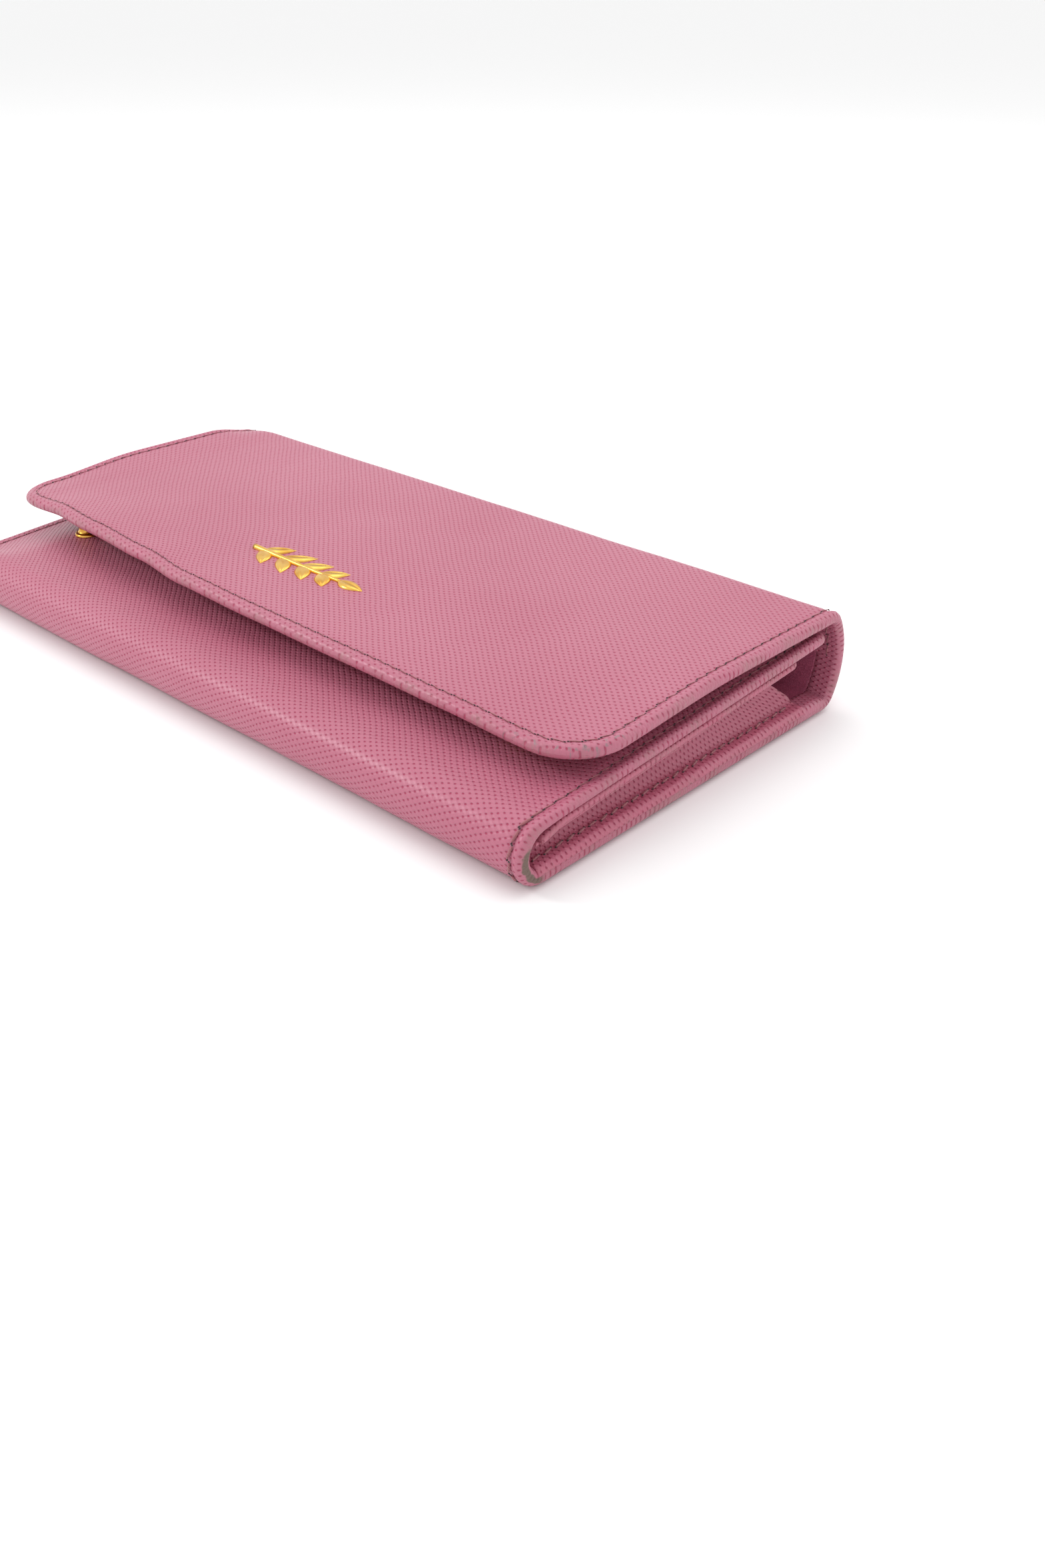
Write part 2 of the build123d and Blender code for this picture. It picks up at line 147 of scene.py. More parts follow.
def settle(x, s):
    """How the flap lies: free edge dropped on the right, left end raised, and round at the spine."""
    if s >= spine_middle:
        return 0.0
    drop = through(flap_lie, x) * ease(44, 1, s)
    belly = 0.35 * (1 - (x / half) ** 2) * ease(run_ends[0], run_ends[0] - 24, s) * ease(0, 30, s)
    raised_end = 0.9 * ease(-76, -95, x) * ease(14, 40, s) * ease(run_ends[1] + 2, 66, s)
    round_end = 1.6 * ease(-84, -96, x) * ease(64, run_ends[0] + 1, s) * ease(spine_middle, run_ends[1], s)
    return drop - belly + raised_end - round_end


def draw_back(x, s):
    """How far the flap's free edge stands back from its full reach, towards its left corner."""
    return through(edge_drawn_back, x) * ease(46, 0, s) if s < 46 else 0.0


def pressed_end(x, y):
    """How far the front pocket's left end is pressed down, behind the front fold."""
    return 3.8 * ease(-72, -97, x) * ease(-46, -38, y) * ease(8, -16, y)


def ripple(x, s, size=0.16, reach=26.0):
    """Slight unevenness of handled leather, on one face and its lining alike."""
    return size * noise.noise(Vector((x / reach, s / reach, 4.2))) + 0.4 * size * noise.noise(
        Vector((x / 9, s / 9, 11.7)))


# ---- mesh helpers

def spaced(start, end, step):
    """Evenly spaced places from start to end."""
    count = max(1, round((end - start) / step))
    return [start + (end - start) * i / count for i in range(count + 1)]


def filled(needed, spare, closest=0.5):
    """Sorted places: all the needed ones, and the spare ones that don't crowd them."""
    kept = sorted(set(round(v, 4) for v in needed))
    return sorted(kept + [v for v in spare if min(abs(v - k) for k in kept) > closest])


window_rows = [0, 0.1, 0.3, 0.6, 1.0, 1.5, 1.9, 2.3, 3.0]
hem_rows = [0, 0.06, 0.22, 0.5, 0.85, 1.3, 1.75, 2.15, 2.5, 2.8, 3.1, 3.5, 4.1, 4.9, 5.7, 6.4]


def sheet_grid(bm, columns, rows):
    """Flat grid of faces at the given places; the vertices keep (column, row) in z-free coordinates."""
    made = bmesh.ops.create_grid(bm, x_segments=len(columns) - 1, y_segments=len(rows) - 1, size=1)
    for v in made["verts"]:
        i = round((v.co.x + 1) / 2 * (len(columns) - 1))
        j = round((v.co.y + 1) / 2 * (len(rows) - 1))
        v.co = (columns[i], rows[j], 0)
    return made["verts"]


def two_sides(bm):
    """Second layer under the faces and a rim between them; returns the layer that tells the sides apart."""
    side = bm.verts.layers.int.new("side")
    bmesh.ops.solidify(bm, geom=bm.faces[:], thickness=1.0)
    lowest = min(v.co.z for v in bm.verts)
    highest = max(v.co.z for v in bm.verts)
    for v in bm.verts:
        v[side] = 0 if abs(v.co.z - highest) < 0.5 * (highest - lowest) else 1
    return side


def move(bm, matrix):
    bmesh.ops.transform(bm, matrix=matrix, verts=bm.verts)


def as_mesh(bm, name="part"):
    """Mesh data of a part; the part itself is freed."""
    mesh = bpy.data.meshes.new(name)
    bm.to_mesh(mesh)
    bm.free()
    return mesh


def in_scene(name, data):
    made = bpy.data.objects.new(name, data)
    bpy.context.scene.collection.objects.link(made)
    return made


def new_piece(bm, name, materials, body=None, replaces=(), slot=None, smooth=True):
    """Finish a mesh made in millimetres: its object, finish, body, and the frame nodes it stands for."""
    move(bm, Matrix.Scale(mm, 4))
    mesh = as_mesh(bm, name)
    piece = in_scene(name, mesh)
    for material in materials:
        mesh.materials.append(material)
    mesh.polygons.foreach_set("use_smooth", [smooth] * len(mesh.polygons))
    if replaces:
        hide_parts(*replaces)
    if body:
        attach(piece, body)
    return piece


def outward(bm):
    bmesh.ops.recalc_face_normals(bm, faces=bm.faces)


def bend_between(piece, a, b, start, end):
    """Bakes the piece's transform into its mesh; the two bodies a and b and the places start and end are not
    used.
    """
    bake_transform(piece)


# ---- seams

class Seam:
    """Line of stitches drawn on the flat leather as (x, s) points."""

    def __init__(self, corners):
        points, lengths = [], [0.0]
        for (xa, sa), (xb, sb) in zip(corners, corners[1:]):
            steps = max(1, round(hypot(xb - xa, sb - sa) / 0.3))
            points += [(xa + (xb - xa) * i / steps, sa + (sb - sa) * i / steps) for i in range(steps)]
        points.append(corners[-1])
        for p, q in zip(points, points[1:]):
            lengths.append(lengths[-1] + hypot(q[0] - p[0], q[1] - p[1]))
        self.points, self.lengths = points, lengths
        self.count = max(1, round(lengths[-1] / pitch))
        self.step = lengths[-1] / self.count
        self.tree = kdtree.KDTree(len(points))
        for i, (x, s) in enumerate(points):
            self.tree.insert((x, s, 0), i)
        self.tree.balance()

    def at(self, length):
        """Place (x, s) at a distance along the seam."""
        low_index, high_index = 0, len(self.lengths) - 1
        while high_index - low_index > 1:
            middle = (low_index + high_index) // 2
            if self.lengths[middle] <= length:
                low_index = middle
            else:
                high_index = middle
        a, b = self.points[low_index], self.points[high_index]
        span = self.lengths[high_index] - self.lengths[low_index]
        t = min(1.0, max(0.0, (length - self.lengths[low_index]) / span))
        return a[0] + (b[0] - a[0]) * t, a[1] + (b[1] - a[1]) * t

    def pull(self, x, s):
        """How far the thread pulls the leather down at a place, deepest at each needle hole."""
        _, index, away = self.tree.find((x, s, 0))
        if away > 2.2:
            return 0.0
        wave = 0.5 + 0.5 * cos(2 * pi * self.lengths[index] / self.step)
        return 0.10 * exp(-(away / 0.85) ** 2) + 0.16 * wave * exp(-(away / 0.6) ** 2)


def arc_points(cx, cs, radius, start, end, count=14):
    return [(cx + radius * cos(start + (end - start) * i / count),
             cs + radius * sin(start + (end - start) * i / count)) for i in range(count + 1)]


edge_x = half - inset
flap_seam = Seam(
    [(edge_x, spine_middle)]
    + arc_points(half - flap_corner, flap_corner, flap_corner - inset, 0, -pi / 2)
    + arc_points(-half + flap_corner, flap_corner, flap_corner - inset, -pi / 2, -pi)
    + [(-edge_x, spine_middle)])
panel_seam = Seam([(edge_x, bottom_middle), (edge_x, panel_end - inset),
                   (-edge_x, panel_end - inset), (-edge_x, bottom_middle)])
back_seams = [Seam([(side * edge_x, spine_middle), (side * edge_x, bottom_middle)]) for side in (-1, 1)]

zip_reach = (20.0 - panel_start[0]) / cos(front_tilt)      # from the fold to the zip, along the panel
zip_s = fold_end + zip_reach
window_half, window_end = 4.4, 78.0
window_inset = 1.9
window_seam = Seam([
    (window_end + window_inset, zip_s - window_half - window_inset),
    (window_end + window_inset, zip_s + window_half + window_inset),
    (-window_end - window_inset, zip_s + window_half + window_inset),
    (-window_end - window_inset, zip_s - window_half - window_inset),
    (window_end + window_inset, zip_s - window_half - window_inset)])


# ---- leather covers

def round_corner(x, s, cut, radii):
    """Move a grid corner of a cut (x0, x1, s0, s1) onto its round corner; radii are those at s0 and at s1."""
    x0, x1, s0, s1 = cut
    at_low = s - s0 < s1 - s
    radius = radii[0] if at_low else radii[1]
    if not radius:
        return x, s
    middle, reach_x = (x0 + x1) / 2, (x1 - x0) / 2 - radius
    a = (abs(x - middle) - reach_x) / radius
    b = (radius - (s - s0 if at_low else s1 - s)) / radius
    if a <= 0 or b <= 0:
        return x, s
    reach = max(a, b)
    turn = pi / 4 * min(a, b) / reach
    ca, cb = (cos(turn), sin(turn)) if a >= b else (sin(turn), cos(turn))
    side = 1 if x > middle else -1
    away = radius - radius * reach * cb
    return middle + side * (reach_x + radius * reach * ca), s0 + away if at_low else s1 - away


def rolled(distance, radius):
    """How far a rolled edge has curved away at a distance from its outermost line."""
    inward = min(distance, radius)
    return radius - sqrt(max(0.0, radius ** 2 - (radius - inward) ** 2))


def thicken(bm, cut, radii, rim_width, distance_at, vertex_at, opening_at=lambda x, s: far_off):
    """Give a flat grid two faces and a rim, its flat coordinates and its distance to an edge; then shape it.

    vertex_at(x, s, distance, inner) sets each vertex in space.
    """
    flat = bm.verts.layers.float_vector.new("flat")
    edge = bm.verts.layers.float.new("edge")
    for v in bm.verts:
        x, s = v.co.x, v.co.y
        distance = distance_at(x, s)
        x, s = round_corner(x, s, cut, radii)
        v[flat] = (x, s, distance)
        v[edge] = min(distance, opening_at(x, s))
        v.co = (x, s, 0)
    side = two_sides(bm)
    uv = bm.loops.layers.uv.new("leather")
    for f in bm.faces:
        across, is_rim = f.normal.copy(), abs(f.normal.z) < 0.5
        for loop in f.loops:
            x, s, distance = loop.vert[flat]
            under = rim_width * loop.vert[side] * is_rim
            loop[uv].uv = ((x + across.x * under) * mm, (s + across.y * under) * mm)
    for v in bm.verts:
        v.co = vertex_at(*v[flat], v[side])
    outward(bm)


class Cover:
    """Piece of outer leather between two places along the section."""

    def __init__(self, start, end, seams, edge_thick, inner_thick, hem, free=(False, False),
                 radii=(0, 0), window=False):
        self.start, self.end, self.seams = start, end, seams
        self.edge_thick, self.inner_thick, self.hem = edge_thick, inner_thick, hem
        self.free, self.radii, self.window = free, radii, window

    def edge_distance(self, x, s):
        distance = half - abs(x)
        if self.free[0]:
            distance = min(distance, s - self.start)
        if self.free[1]:
            distance = min(distance, self.end - s)
        return distance

    def window_distance(self, x, s):
        if not self.window:
            return far_off
        dx, ds = abs(x) - window_end, abs(s - zip_s) - window_half
        return hypot(max(dx, 0), max(ds, 0)) if dx > 0 or ds > 0 else max(dx, ds)

    def lift(self, x, s, distance):
        """Height of the outer face over the plain section."""
        thick = self.edge_thick(s)
        height = 0.20 * exp(-((distance - 1.35) / 0.75) ** 2) - rolled(distance, thick / 2)
        height -= sum(seam.pull(x, s) for seam in self.seams)
        opening = self.window_distance(x, s)
        if opening < window_shaped:
            height -= rolled(opening, 0.6) - 0.10 * exp(-((opening - 0.9) / 0.5) ** 2)
        return height + ripple(x, s) * ease(0.5, 5, distance)

    def sink(self, x, s, distance):
        """Depth of the inner face under the plain section."""
        edge, inner = self.edge_thick(s), self.inner_thick(s)
        depth = edge
        if edge > inner:
            depth = inner + (edge - inner) * (1 - ease(self.hem, self.hem + 0.9, distance))
        depth -= rolled(distance, edge / 2) * 0.98
        opening = self.window_distance(x, s)
        if opening < window_shaped:
            depth -= rolled(opening, 0.6) * 0.9
        return depth - ripple(x, s) * ease(0.5, 5, distance)

    def place(self, x, s, depth):
        """Point in space of a place on the flat leather at a depth under its outer face."""
        y, z = on_section(s, depth)
        if s > fold_begin and z > fold_radius:
            z -= pressed_end(x, y)
        return Vector((x, y + draw_back(x, s), z + settle(x, s)))

    def surface(self, x, s, above=0.0):
        return self.place(x, s, -self.lift(x, s, self.edge_distance(x, s)) - above)

    def build(self, name, material, replaces):
        rows, columns = [self.start, self.end], []
        rows += [self.start + d for d in hem_rows if self.free[0]]
        rows += [self.end - d for d in hem_rows if self.free[1]]
        for side in (-1, 1):
            columns += [side * (half - d) for d in hem_rows]
            if self.window:
                rows += [zip_s + side * (window_half + d) for d in window_rows]
                columns += [side * (window_end + d) for d in window_rows]
        bm = bmesh.new()
        sheet_grid(bm, filled(columns, spaced(-half, half, pitch / 2)),
                   filled(rows, spaced(self.start, self.end, pitch / 2)))
        if self.window:
            inside = [f for f in bm.faces if abs(f.calc_center_median().x) < window_end
                      and abs(f.calc_center_median().y - zip_s) < window_half]
            bmesh.ops.delete(bm, geom=inside, context="FACES")

        def vertex_at(x, s, distance, inner):
            return self.place(x, s, self.sink(x, s, distance) if inner else -self.lift(x, s, distance))

        thicken(bm, (-half, half, self.start, self.end), self.radii, rim_uv, self.edge_distance, vertex_at,
                self.window_distance)
        for e in bm.edges:                  # covers that meet end to end shade as one skin
            e.smooth = e.calc_face_angle(0) < radians(60)
        return new_piece(bm, name, [material], replaces=replaces, slot="cover_leather")


def rim(s):
    """Thickness of the covers' ends: thick along the back, thinner round the fold and up the spine."""
    return through([(spine_middle - 4, flap_thick), (run_ends[2], 2.7), (run_ends[3] + 4, 3.4),
                    (fold_begin - 4, 3.4), (fold_begin + 7, 2.9), (fold_end + 5, 1.75)], s)


def board_depth(s):
    """Thickness of leather and board together, away from the ends."""
    return through([(spine_middle, 2.0), (run_ends[3], 1.9), (fold_begin - 3, 1.9), (fold_begin + 3, 1.2)], s)


flap_cover = Cover(0.0, spine_middle, [flap_seam], rim, board_depth, 6.2, (True, False), (flap_corner, 0))
back_cover = Cover(spine_middle, bottom_middle, back_seams, rim, board_depth, 5.0)
front_cover = Cover(bottom_middle, panel_end, [panel_seam, window_seam], rim, board_depth, 5.0,
                    (False, True), (0, panel_corner), window=True)


def soft_sheet(name, place, cut, thick, material, radii=(0, 0), step=3.0, seams=(), free=(1, 1, 1, 1),
               puff=0.0, slot="lining", **finish):
    """Thin sheet with rolled edges.

    place(x, s, depth) sets it in space; free tells which of the edges (x0, x1, s0, s1) are cut.
    """
    x0, x1, s0, s1 = cut
    near = [d * min(1.0, thick) for d in (0, 0.08, 0.28, 0.62, 1.2, 2.0)] + [thick + 1.2]
    bm = bmesh.new()
    sheet_grid(bm, *(filled([a, b] + [a + d for d in near] + [b - d for d in near], spaced(a, b, step))
                     for a, b in ((x0, x1), (s0, s1))))

    def distance_at(x, s):
        gaps = (x - x0, x1 - x, s - s0, s1 - s)
        return min([gap for gap, cut_edge in zip(gaps, free) if cut_edge] or [far_off])

    def vertex_at(x, s, distance, inner):
        away = rolled(distance, thick / 2)
        if inner:
            return place(x, s, thick - away * 0.98)
        pulled = sum(seam.pull(x, s) for seam in seams)
        return place(x, s, away + pulled - puff * exp(-((distance - 1.2) / 0.8) ** 2))

    thicken(bm, cut, radii, thick, distance_at, vertex_at)
    return new_piece(bm, name, [material], slot=slot, **finish)


# ---- finishes

def feed(tree, made, inputs):
    """Set inputs of a node, each to a value or to another node's output."""
    for key, value in inputs.items():
        if isinstance(value, bpy.types.NodeSocket):
            tree.links.new(value, made.inputs[key])
        else:
            made.inputs[key].default_value = value


def node(tree, kind, inputs=None, **settings):
    """Shader node with its settings and inputs."""
    made = tree.nodes.new("ShaderNode" + kind)
    for key, value in settings.items():
        setattr(made, key, value)
    feed(tree, made, inputs or {})
    return made


def calc(tree, operation, *values, clamp=False):
    return node(tree, "Math", dict(enumerate(values)), operation=operation, use_clamp=clamp).outputs[0]


def plus(tree, a, b):
    return calc(tree, "ADD", a, b)


def times(tree, a, b):
    return calc(tree, "MULTIPLY", a, b)


def ramp(tree, value, low_end, high_end, low_out=0.0, high_out=1.0):
    """Smooth change of a value between two limits."""
    return node(tree, "MapRange", {0: value, 1: low_end, 2: high_end, 3: low_out, 4: high_out},
                interpolation_type="SMOOTHSTEP").outputs[0]


def mixed(tree, factor, a, b):
    return node(tree, "Mix", {0: factor, 6: a, 7: b}, data_type="RGBA").outputs[2]


def cloud(tree, place, scale, detail=2.0, **more):
    """Soft noise from 0 to 1."""
    return node(tree, "TexNoise", {"Vector": place, "Scale": scale, "Detail": detail, **more}).outputs[0]


def in_mm(tree, place):
    return node(tree, "VectorMath", {0: place, "Scale": 1000.0}, operation="SCALE").outputs[0]


def flat_place(tree):
    """Place on the flat leather, in metres."""
    return node(tree, "UVMap", uv_map="leather").outputs[0]


def edge_distance(tree):
    """Distance to the nearest edge of the piece, in millimetres."""
    return node(tree, "Attribute", attribute_name="edge").outputs["Fac"]


def solid_place(tree):
    return node(tree, "TexCoord").outputs["Object"]


def paint(red, green, blue):
    """Colour from screen values 0-255."""
    def linear(c):
        c /= 255
        return c / 12.92 if c <= 0.04045 else ((c + 0.055) / 1.055) ** 2.4
    return (linear(red), linear(green), linear(blue), 1)


def effect(name, inputs, outputs):
    """Empty node group; returns it with what it is given and the node that takes what it gives."""
    group = bpy.data.node_groups.new(name, "ShaderNodeTree")
    for label, kind, value in inputs:
        made = group.interface.new_socket(name=label, in_out="INPUT", socket_type="NodeSocket" + kind)
        if value is not None:
            made.default_value = value
    for label in outputs:
        group.interface.new_socket(name=label, in_out="OUTPUT", socket_type="NodeSocketFloat")
    return group, group.nodes.new("NodeGroupInput").outputs, group.nodes.new("NodeGroupOutput")


def use(tree, group, inputs):
    return node(tree, "Group", inputs, node_tree=group).outputs


def stripes(tree, vector, angle, spacing, wander):
    """Distance from the nearest of a set of parallel lines, 0 on a line and 1 halfway to the next."""
    across = node(tree, "VectorMath", {0: vector, 1: (cos(angle), sin(angle), 0)},
                  operation="DOT_PRODUCT").outputs[1]
    moved = plus(tree, calc(tree, "DIVIDE", across, spacing), wander)
    return times(tree, calc(tree, "PINGPONG", moved, 0.5), 2.0)


def make_grain():
    """Crosshatched grain pressed into coated leather: two sets of fine ridges with a pit at each crossing."""
    group, given, gives = effect("crosshatch_grain", [("Place", "Vector", None), ("Spacing", "Float", 1.0)],
                                 ["Height", "Pits", "Shine"])
    place = in_mm(group, given["Place"])
    slow, fast = cloud(group, place, 0.045), cloud(group, place, 0.9, 1.0)
    wander = plus(group, times(group, slow, 1.5), times(group, fast, 0.16))
    bent = plus(group, times(group, slow, -1.2), times(group, fast, 0.22))
    main = stripes(group, place, radians(50), times(group, given["Spacing"], 1.06), wander)
    cross = stripes(group, place, radians(118), times(group, given["Spacing"], 1.12), bent)
    main_dip = ramp(group, main, 0.0, 0.62, 1.0, 0.0)
    cross_dip = ramp(group, cross, 0.0, 0.55, 1.0, 0.0)
    pit = times(group, main_dip, cross_dip)
    depth = plus(group, times(group, main_dip, 0.27), times(group, cross_dip, 0.20))
    depth = plus(group, depth, times(group, pit, 0.62))
    pores = times(group, cloud(group, place, 5.0, 3.0), 0.12)
    feed(group, gives, {"Height": plus(group, calc(group, "SUBTRACT", 1.0, depth), pores),
                        "Pits": ramp(group, pit, 0.16, 0.62),
                        "Shine": ramp(group, depth, 0.0, 0.5, 1.0, 0.0)})
    return group


def make_wear():
    """Rubbed and soiled places: a broken-up mask that is strongest near an edge."""
    group, given, gives = effect("edge_wear", [
        ("Place", "Vector", None), ("Edge", "Float", 0.0), ("Reach", "Float", 1.6), ("Amount", "Float", 0.5)],
        ["Rubbed", "Soil"])
    place = in_mm(group, given["Place"])
    patches, specks = cloud(group, place, 0.16, 3.0), cloud(group, place, 1.3, 4.0, Roughness=0.7)
    near = ramp(group, given["Edge"], 0.0, given["Reach"], 1.0, 0.0)
    broken = times(group, ramp(group, patches, 0.42, 0.66), ramp(group, specks, 0.40, 0.66))
    feed(group, gives, {
        "Rubbed": calc(group, "MULTIPLY", times(group, broken, near), given["Amount"], clamp=True),
        "Soil": times(group, ramp(group, patches, 0.3, 0.75), times(group, near, 0.5))})
    return group


def make_weave():
    """Plain weave: two sets of threads that pass over and under each other."""
    group, given, gives = effect("plain_weave", [("Place", "Vector", None), ("Spacing", "Float", 0.4)],
                                 ["Height", "Shade"])
    place = in_mm(group, given["Place"])
    stray = times(group, cloud(group, place, 1.1), 0.4)
    warp, weft = (stripes(group, place, angle, given["Spacing"], stray) for angle in (0.0, pi / 2))
    checker = node(group, "TexChecker", {"Vector": place, "Scale": 2.5}).outputs[1]
    over = node(group, "Mix", {0: checker, 2: warp, 3: weft}).outputs[0]
    feed(group, gives, {"Height": ramp(group, over, 0.0, 0.9), "Shade": ramp(group, over, 0.0, 1.0)})
    return group


grain_effect, wear_effect, weave_effect = make_grain(), make_wear(), make_weave()


def finish_base(name):
    """New material; returns it with its tree and its shader."""
    material = bpy.data.materials.new(name)
    material.use_nodes = True
    return material, material.node_tree, material.node_tree.nodes["Principled BSDF"]


def bumped(tree, height, distance):
    """Relief from a height of 0 to 1; the distance is in millimetres."""
    return node(tree, "Bump", {"Height": height, "Distance": distance * mm, "Strength": 1.0}).outputs[0]


soil, rubbed = paint(160, 100, 110), paint(152, 118, 116)


def leather_finish(name, base, pit, grain=1.0, depth=0.22, wear=0.5, shine=0.36, worn=None, stain=None):
    """Coated crosshatched leather on a piece's own flat coordinates."""
    material, tree, shader = finish_base(name)
    flat = flat_place(tree)
    grained = use(tree, grain_effect, {"Place": flat, "Spacing": grain})
    worn_out = use(tree, wear_effect, {"Place": flat, "Edge": edge_distance(tree), "Reach": 1.5,
                                       "Amount": wear})
    tone = cloud(tree, flat, 22.0, 3.0)
    faded = [c * k for c, k in zip(base, (0.94, 0.86, 0.89, 1))]
    shade = mixed(tree, ramp(tree, tone, 0.3, 0.7), base, faded)
    shade = mixed(tree, times(tree, grained["Pits"], 0.92), shade, pit)
    shade = mixed(tree, worn_out["Soil"], shade, soil)
    shade = mixed(tree, worn_out["Rubbed"], shade, rubbed)
    if worn:
        shade = mixed(tree, worn(tree), shade, stain)
    gloss = calc(tree, "SUBTRACT", shine + 0.18, times(tree, grained["Shine"], 0.18))
    feed(tree, shader, {"Base Color": shade, "Roughness": plus(tree, gloss, times(tree, tone, 0.08)),
                        "Normal": bumped(tree, grained["Height"], depth), "Specular IOR Level": 0.45,
                        "Coat Weight": 0.11, "Coat Roughness": 0.22})
    return material


def corner_patch(tree):
    """Mask of the rubbed-through strip down the right end of the front fold."""
    spot = solid_place(tree)
    place = node(tree, "SeparateXYZ", {0: spot}).outputs
    ragged = cloud(tree, spot, 520.0, 4.0)
    section_place = node(tree, "VectorMath", {0: spot, 1: (0, 1, 1)}, operation="MULTIPLY").outputs[0]
    radius = node(tree, "VectorMath", {0: section_place, 1: (0, fold_y * mm, fold_radius * mm)},
                  operation="DISTANCE").outputs[1]
    radius = plus(tree, radius, times(tree, calc(tree, "SUBTRACT", ragged, 0.5), 0.0016))
    strip = times(tree, ramp(tree, radius, 0.0041, 0.0044), ramp(tree, radius, 0.0056, 0.0053))
    below = ramp(tree, plus(tree, place[2], times(tree, ragged, 0.003)), 0.0112, 0.0098)
    in_front = ramp(tree, place[1], -0.0420, -0.0440)
    at_end = ramp(tree, place[0], 0.0934, 0.0941)
    return times(tree, times(tree, strip, at_end), times(tree, below, in_front))


def corner_specks(tree):
    """Mask of grey specks where the flap's right front corner has rubbed."""
    flat = flat_place(tree)
    away = node(tree, "VectorMath", {0: flat, 1: (0.089, 0.004, 0)}, operation="DISTANCE").outputs[1]
    near = times(tree, ramp(tree, away, 0.006, 0.024, 1.0, 0.0),
                 ramp(tree, edge_distance(tree), 0.3, 3.6, 1.0, 0.0))
    return times(tree, near, ramp(tree, cloud(tree, flat, 900.0, 3.0), 0.56, 0.68, 0.0, 0.8))


pink, pink_pit = paint(180, 103, 124), paint(166, 44, 82)
outer_finish = leather_finish("coated_leather", pink, pink_pit, worn=corner_specks,
                              stain=paint(134, 112, 116))
front_finish = leather_finish("coated_leather_front", pink, pink_pit, worn=corner_patch,
                              stain=paint(104, 82, 72))
inner_finish = leather_finish("gusset_leather", paint(182, 97, 119), paint(156, 40, 76), wear=0.3)


def lining_finish():
    """Smooth calf lining with fine grain."""
    material, tree, shader = finish_base("smooth_lining")
    flat = flat_place(tree)
    cells = node(tree, "TexVoronoi", {"Vector": flat, "Scale": 1700.0}, feature="DISTANCE_TO_EDGE").outputs[0]
    cloudy, creases = cloud(tree, flat, 30.0, 4.0), cloud(tree, flat, 160.0, 5.0, Distortion=1.2)
    shade = mixed(tree, ramp(tree, cloudy, 0.3, 0.7), paint(186, 92, 122), paint(168, 80, 108))
    shade = mixed(tree, ramp(tree, cells, 0.0, 0.12, 0.35, 0.0), shade, paint(132, 50, 78))
    height = plus(tree, ramp(tree, cells, 0.0, 0.2), times(tree, creases, 0.8))
    feed(tree, shader, {"Base Color": shade, "Roughness": ramp(tree, cloudy, 0.3, 0.7, 0.42, 0.56),
                        "Normal": bumped(tree, height, 0.05)})
    return material


def cloth_finish(name, colour, dark, spacing):
    """Woven cloth of the zip tapes."""
    material, tree, shader = finish_base(name)
    woven = use(tree, weave_effect, {"Place": flat_place(tree), "Spacing": spacing})
    feed(tree, shader, {"Base Color": mixed(tree, woven["Shade"], dark, colour), "Roughness": 0.85,
                        "Sheen Weight": 0.3, "Normal": bumped(tree, woven["Height"], 0.12)})
    return material


def board_finish():
    """Grey-brown pressed board."""
    material, tree, shader = finish_base("board")
    drawn_out = node(tree, "Mapping", {"Vector": solid_place(tree), "Scale": (1, 6, 6)}).outputs[0]
    fibres = cloud(tree, drawn_out, 300.0, 5.0)
    feed(tree, shader, {"Base Color": mixed(tree, fibres, paint(176, 168, 152), paint(140, 130, 114)),
                        "Roughness": 0.9, "Normal": bumped(tree, fibres, 0.08)})
    return material


def metal_finish(name, colour, dull, rough):
    """Plated metal with soft smudges and hairline marks."""
    material, tree, shader = finish_base(name)
    place = solid_place(tree)
    smudge = cloud(tree, place, 260.0, 3.0)
    drawn_out = node(tree, "Mapping", {"Vector": place, "Rotation": (0, 0, 0.5),
                                       "Scale": (1, 14, 14)}).outputs[0]
    feed(tree, shader, {
        "Base Color": mixed(tree, ramp(tree, smudge, 0.35, 0.75), colour, dull), "Metallic": 1.0,
        "Roughness": ramp(tree, smudge, 0.3, 0.75, rough, rough + 0.16),
        "Normal": bumped(tree, cloud(tree, drawn_out, 520.0, 4.0), 0.012)})
    return material


def thread_finish(name, colour, dark):
    """Twisted sewing thread."""
    material, tree, shader = finish_base(name)
    place = solid_place(tree)
    twist = node(tree, "TexWave", {"Vector": place, "Scale": 900.0, "Distortion": 2.0},
                 bands_direction="DIAGONAL").outputs[1]
    feed(tree, shader, {"Base Color": mixed(tree, cloud(tree, place, 400.0, 3.0), colour, dark),
                        "Roughness": 0.8, "Sheen Weight": 0.25, "Normal": bumped(tree, twist, 0.05)})
    return material


lining = lining_finish()
tape_cloth = cloth_finish("zip_tape_cloth", paint(176, 84, 116), paint(120, 48, 76), 0.42)
board = board_finish()
gold = metal_finish("gold_plate", paint(236, 190, 96), paint(206, 150, 62), 0.20)
tooth_gold = metal_finish("zip_teeth_plate", paint(226, 184, 104), paint(186, 138, 66), 0.28)
thread = thread_finish("brown_thread", paint(172, 102, 110), paint(124, 68, 76))
# near-black beads at the needle holes: painted shade inside each hole
painted_hole_shade = thread_finish("needle_hole_painted_shade", paint(66, 22, 32), paint(42, 14, 22))


# ---- covers, boards and stitches

flap_leather = flap_cover.build("flap_leather", outer_finish, ["flap_cover", "spine_cover"])
back_leather = back_cover.build("back_leather", outer_finish, ["back_cover"])
front_leather = front_cover.build("front_leather", front_finish, ["front_panel"])

# Where the leather bends: the lower fold, the upper fold and the front fold
low_fold = ((43.5, 0.5), (47.5, 5.0))
high_fold = ((47.5, top - 5.0), (43.5, top - 0.5))
front_fold = ((0.0, 1.2), (0.0, 11.2))


def bend_flap(piece):
    bend_between(piece, "spine", "flap", *high_fold)


def bend_back(piece):
    bend_between(piece, "back", "spine", *low_fold)


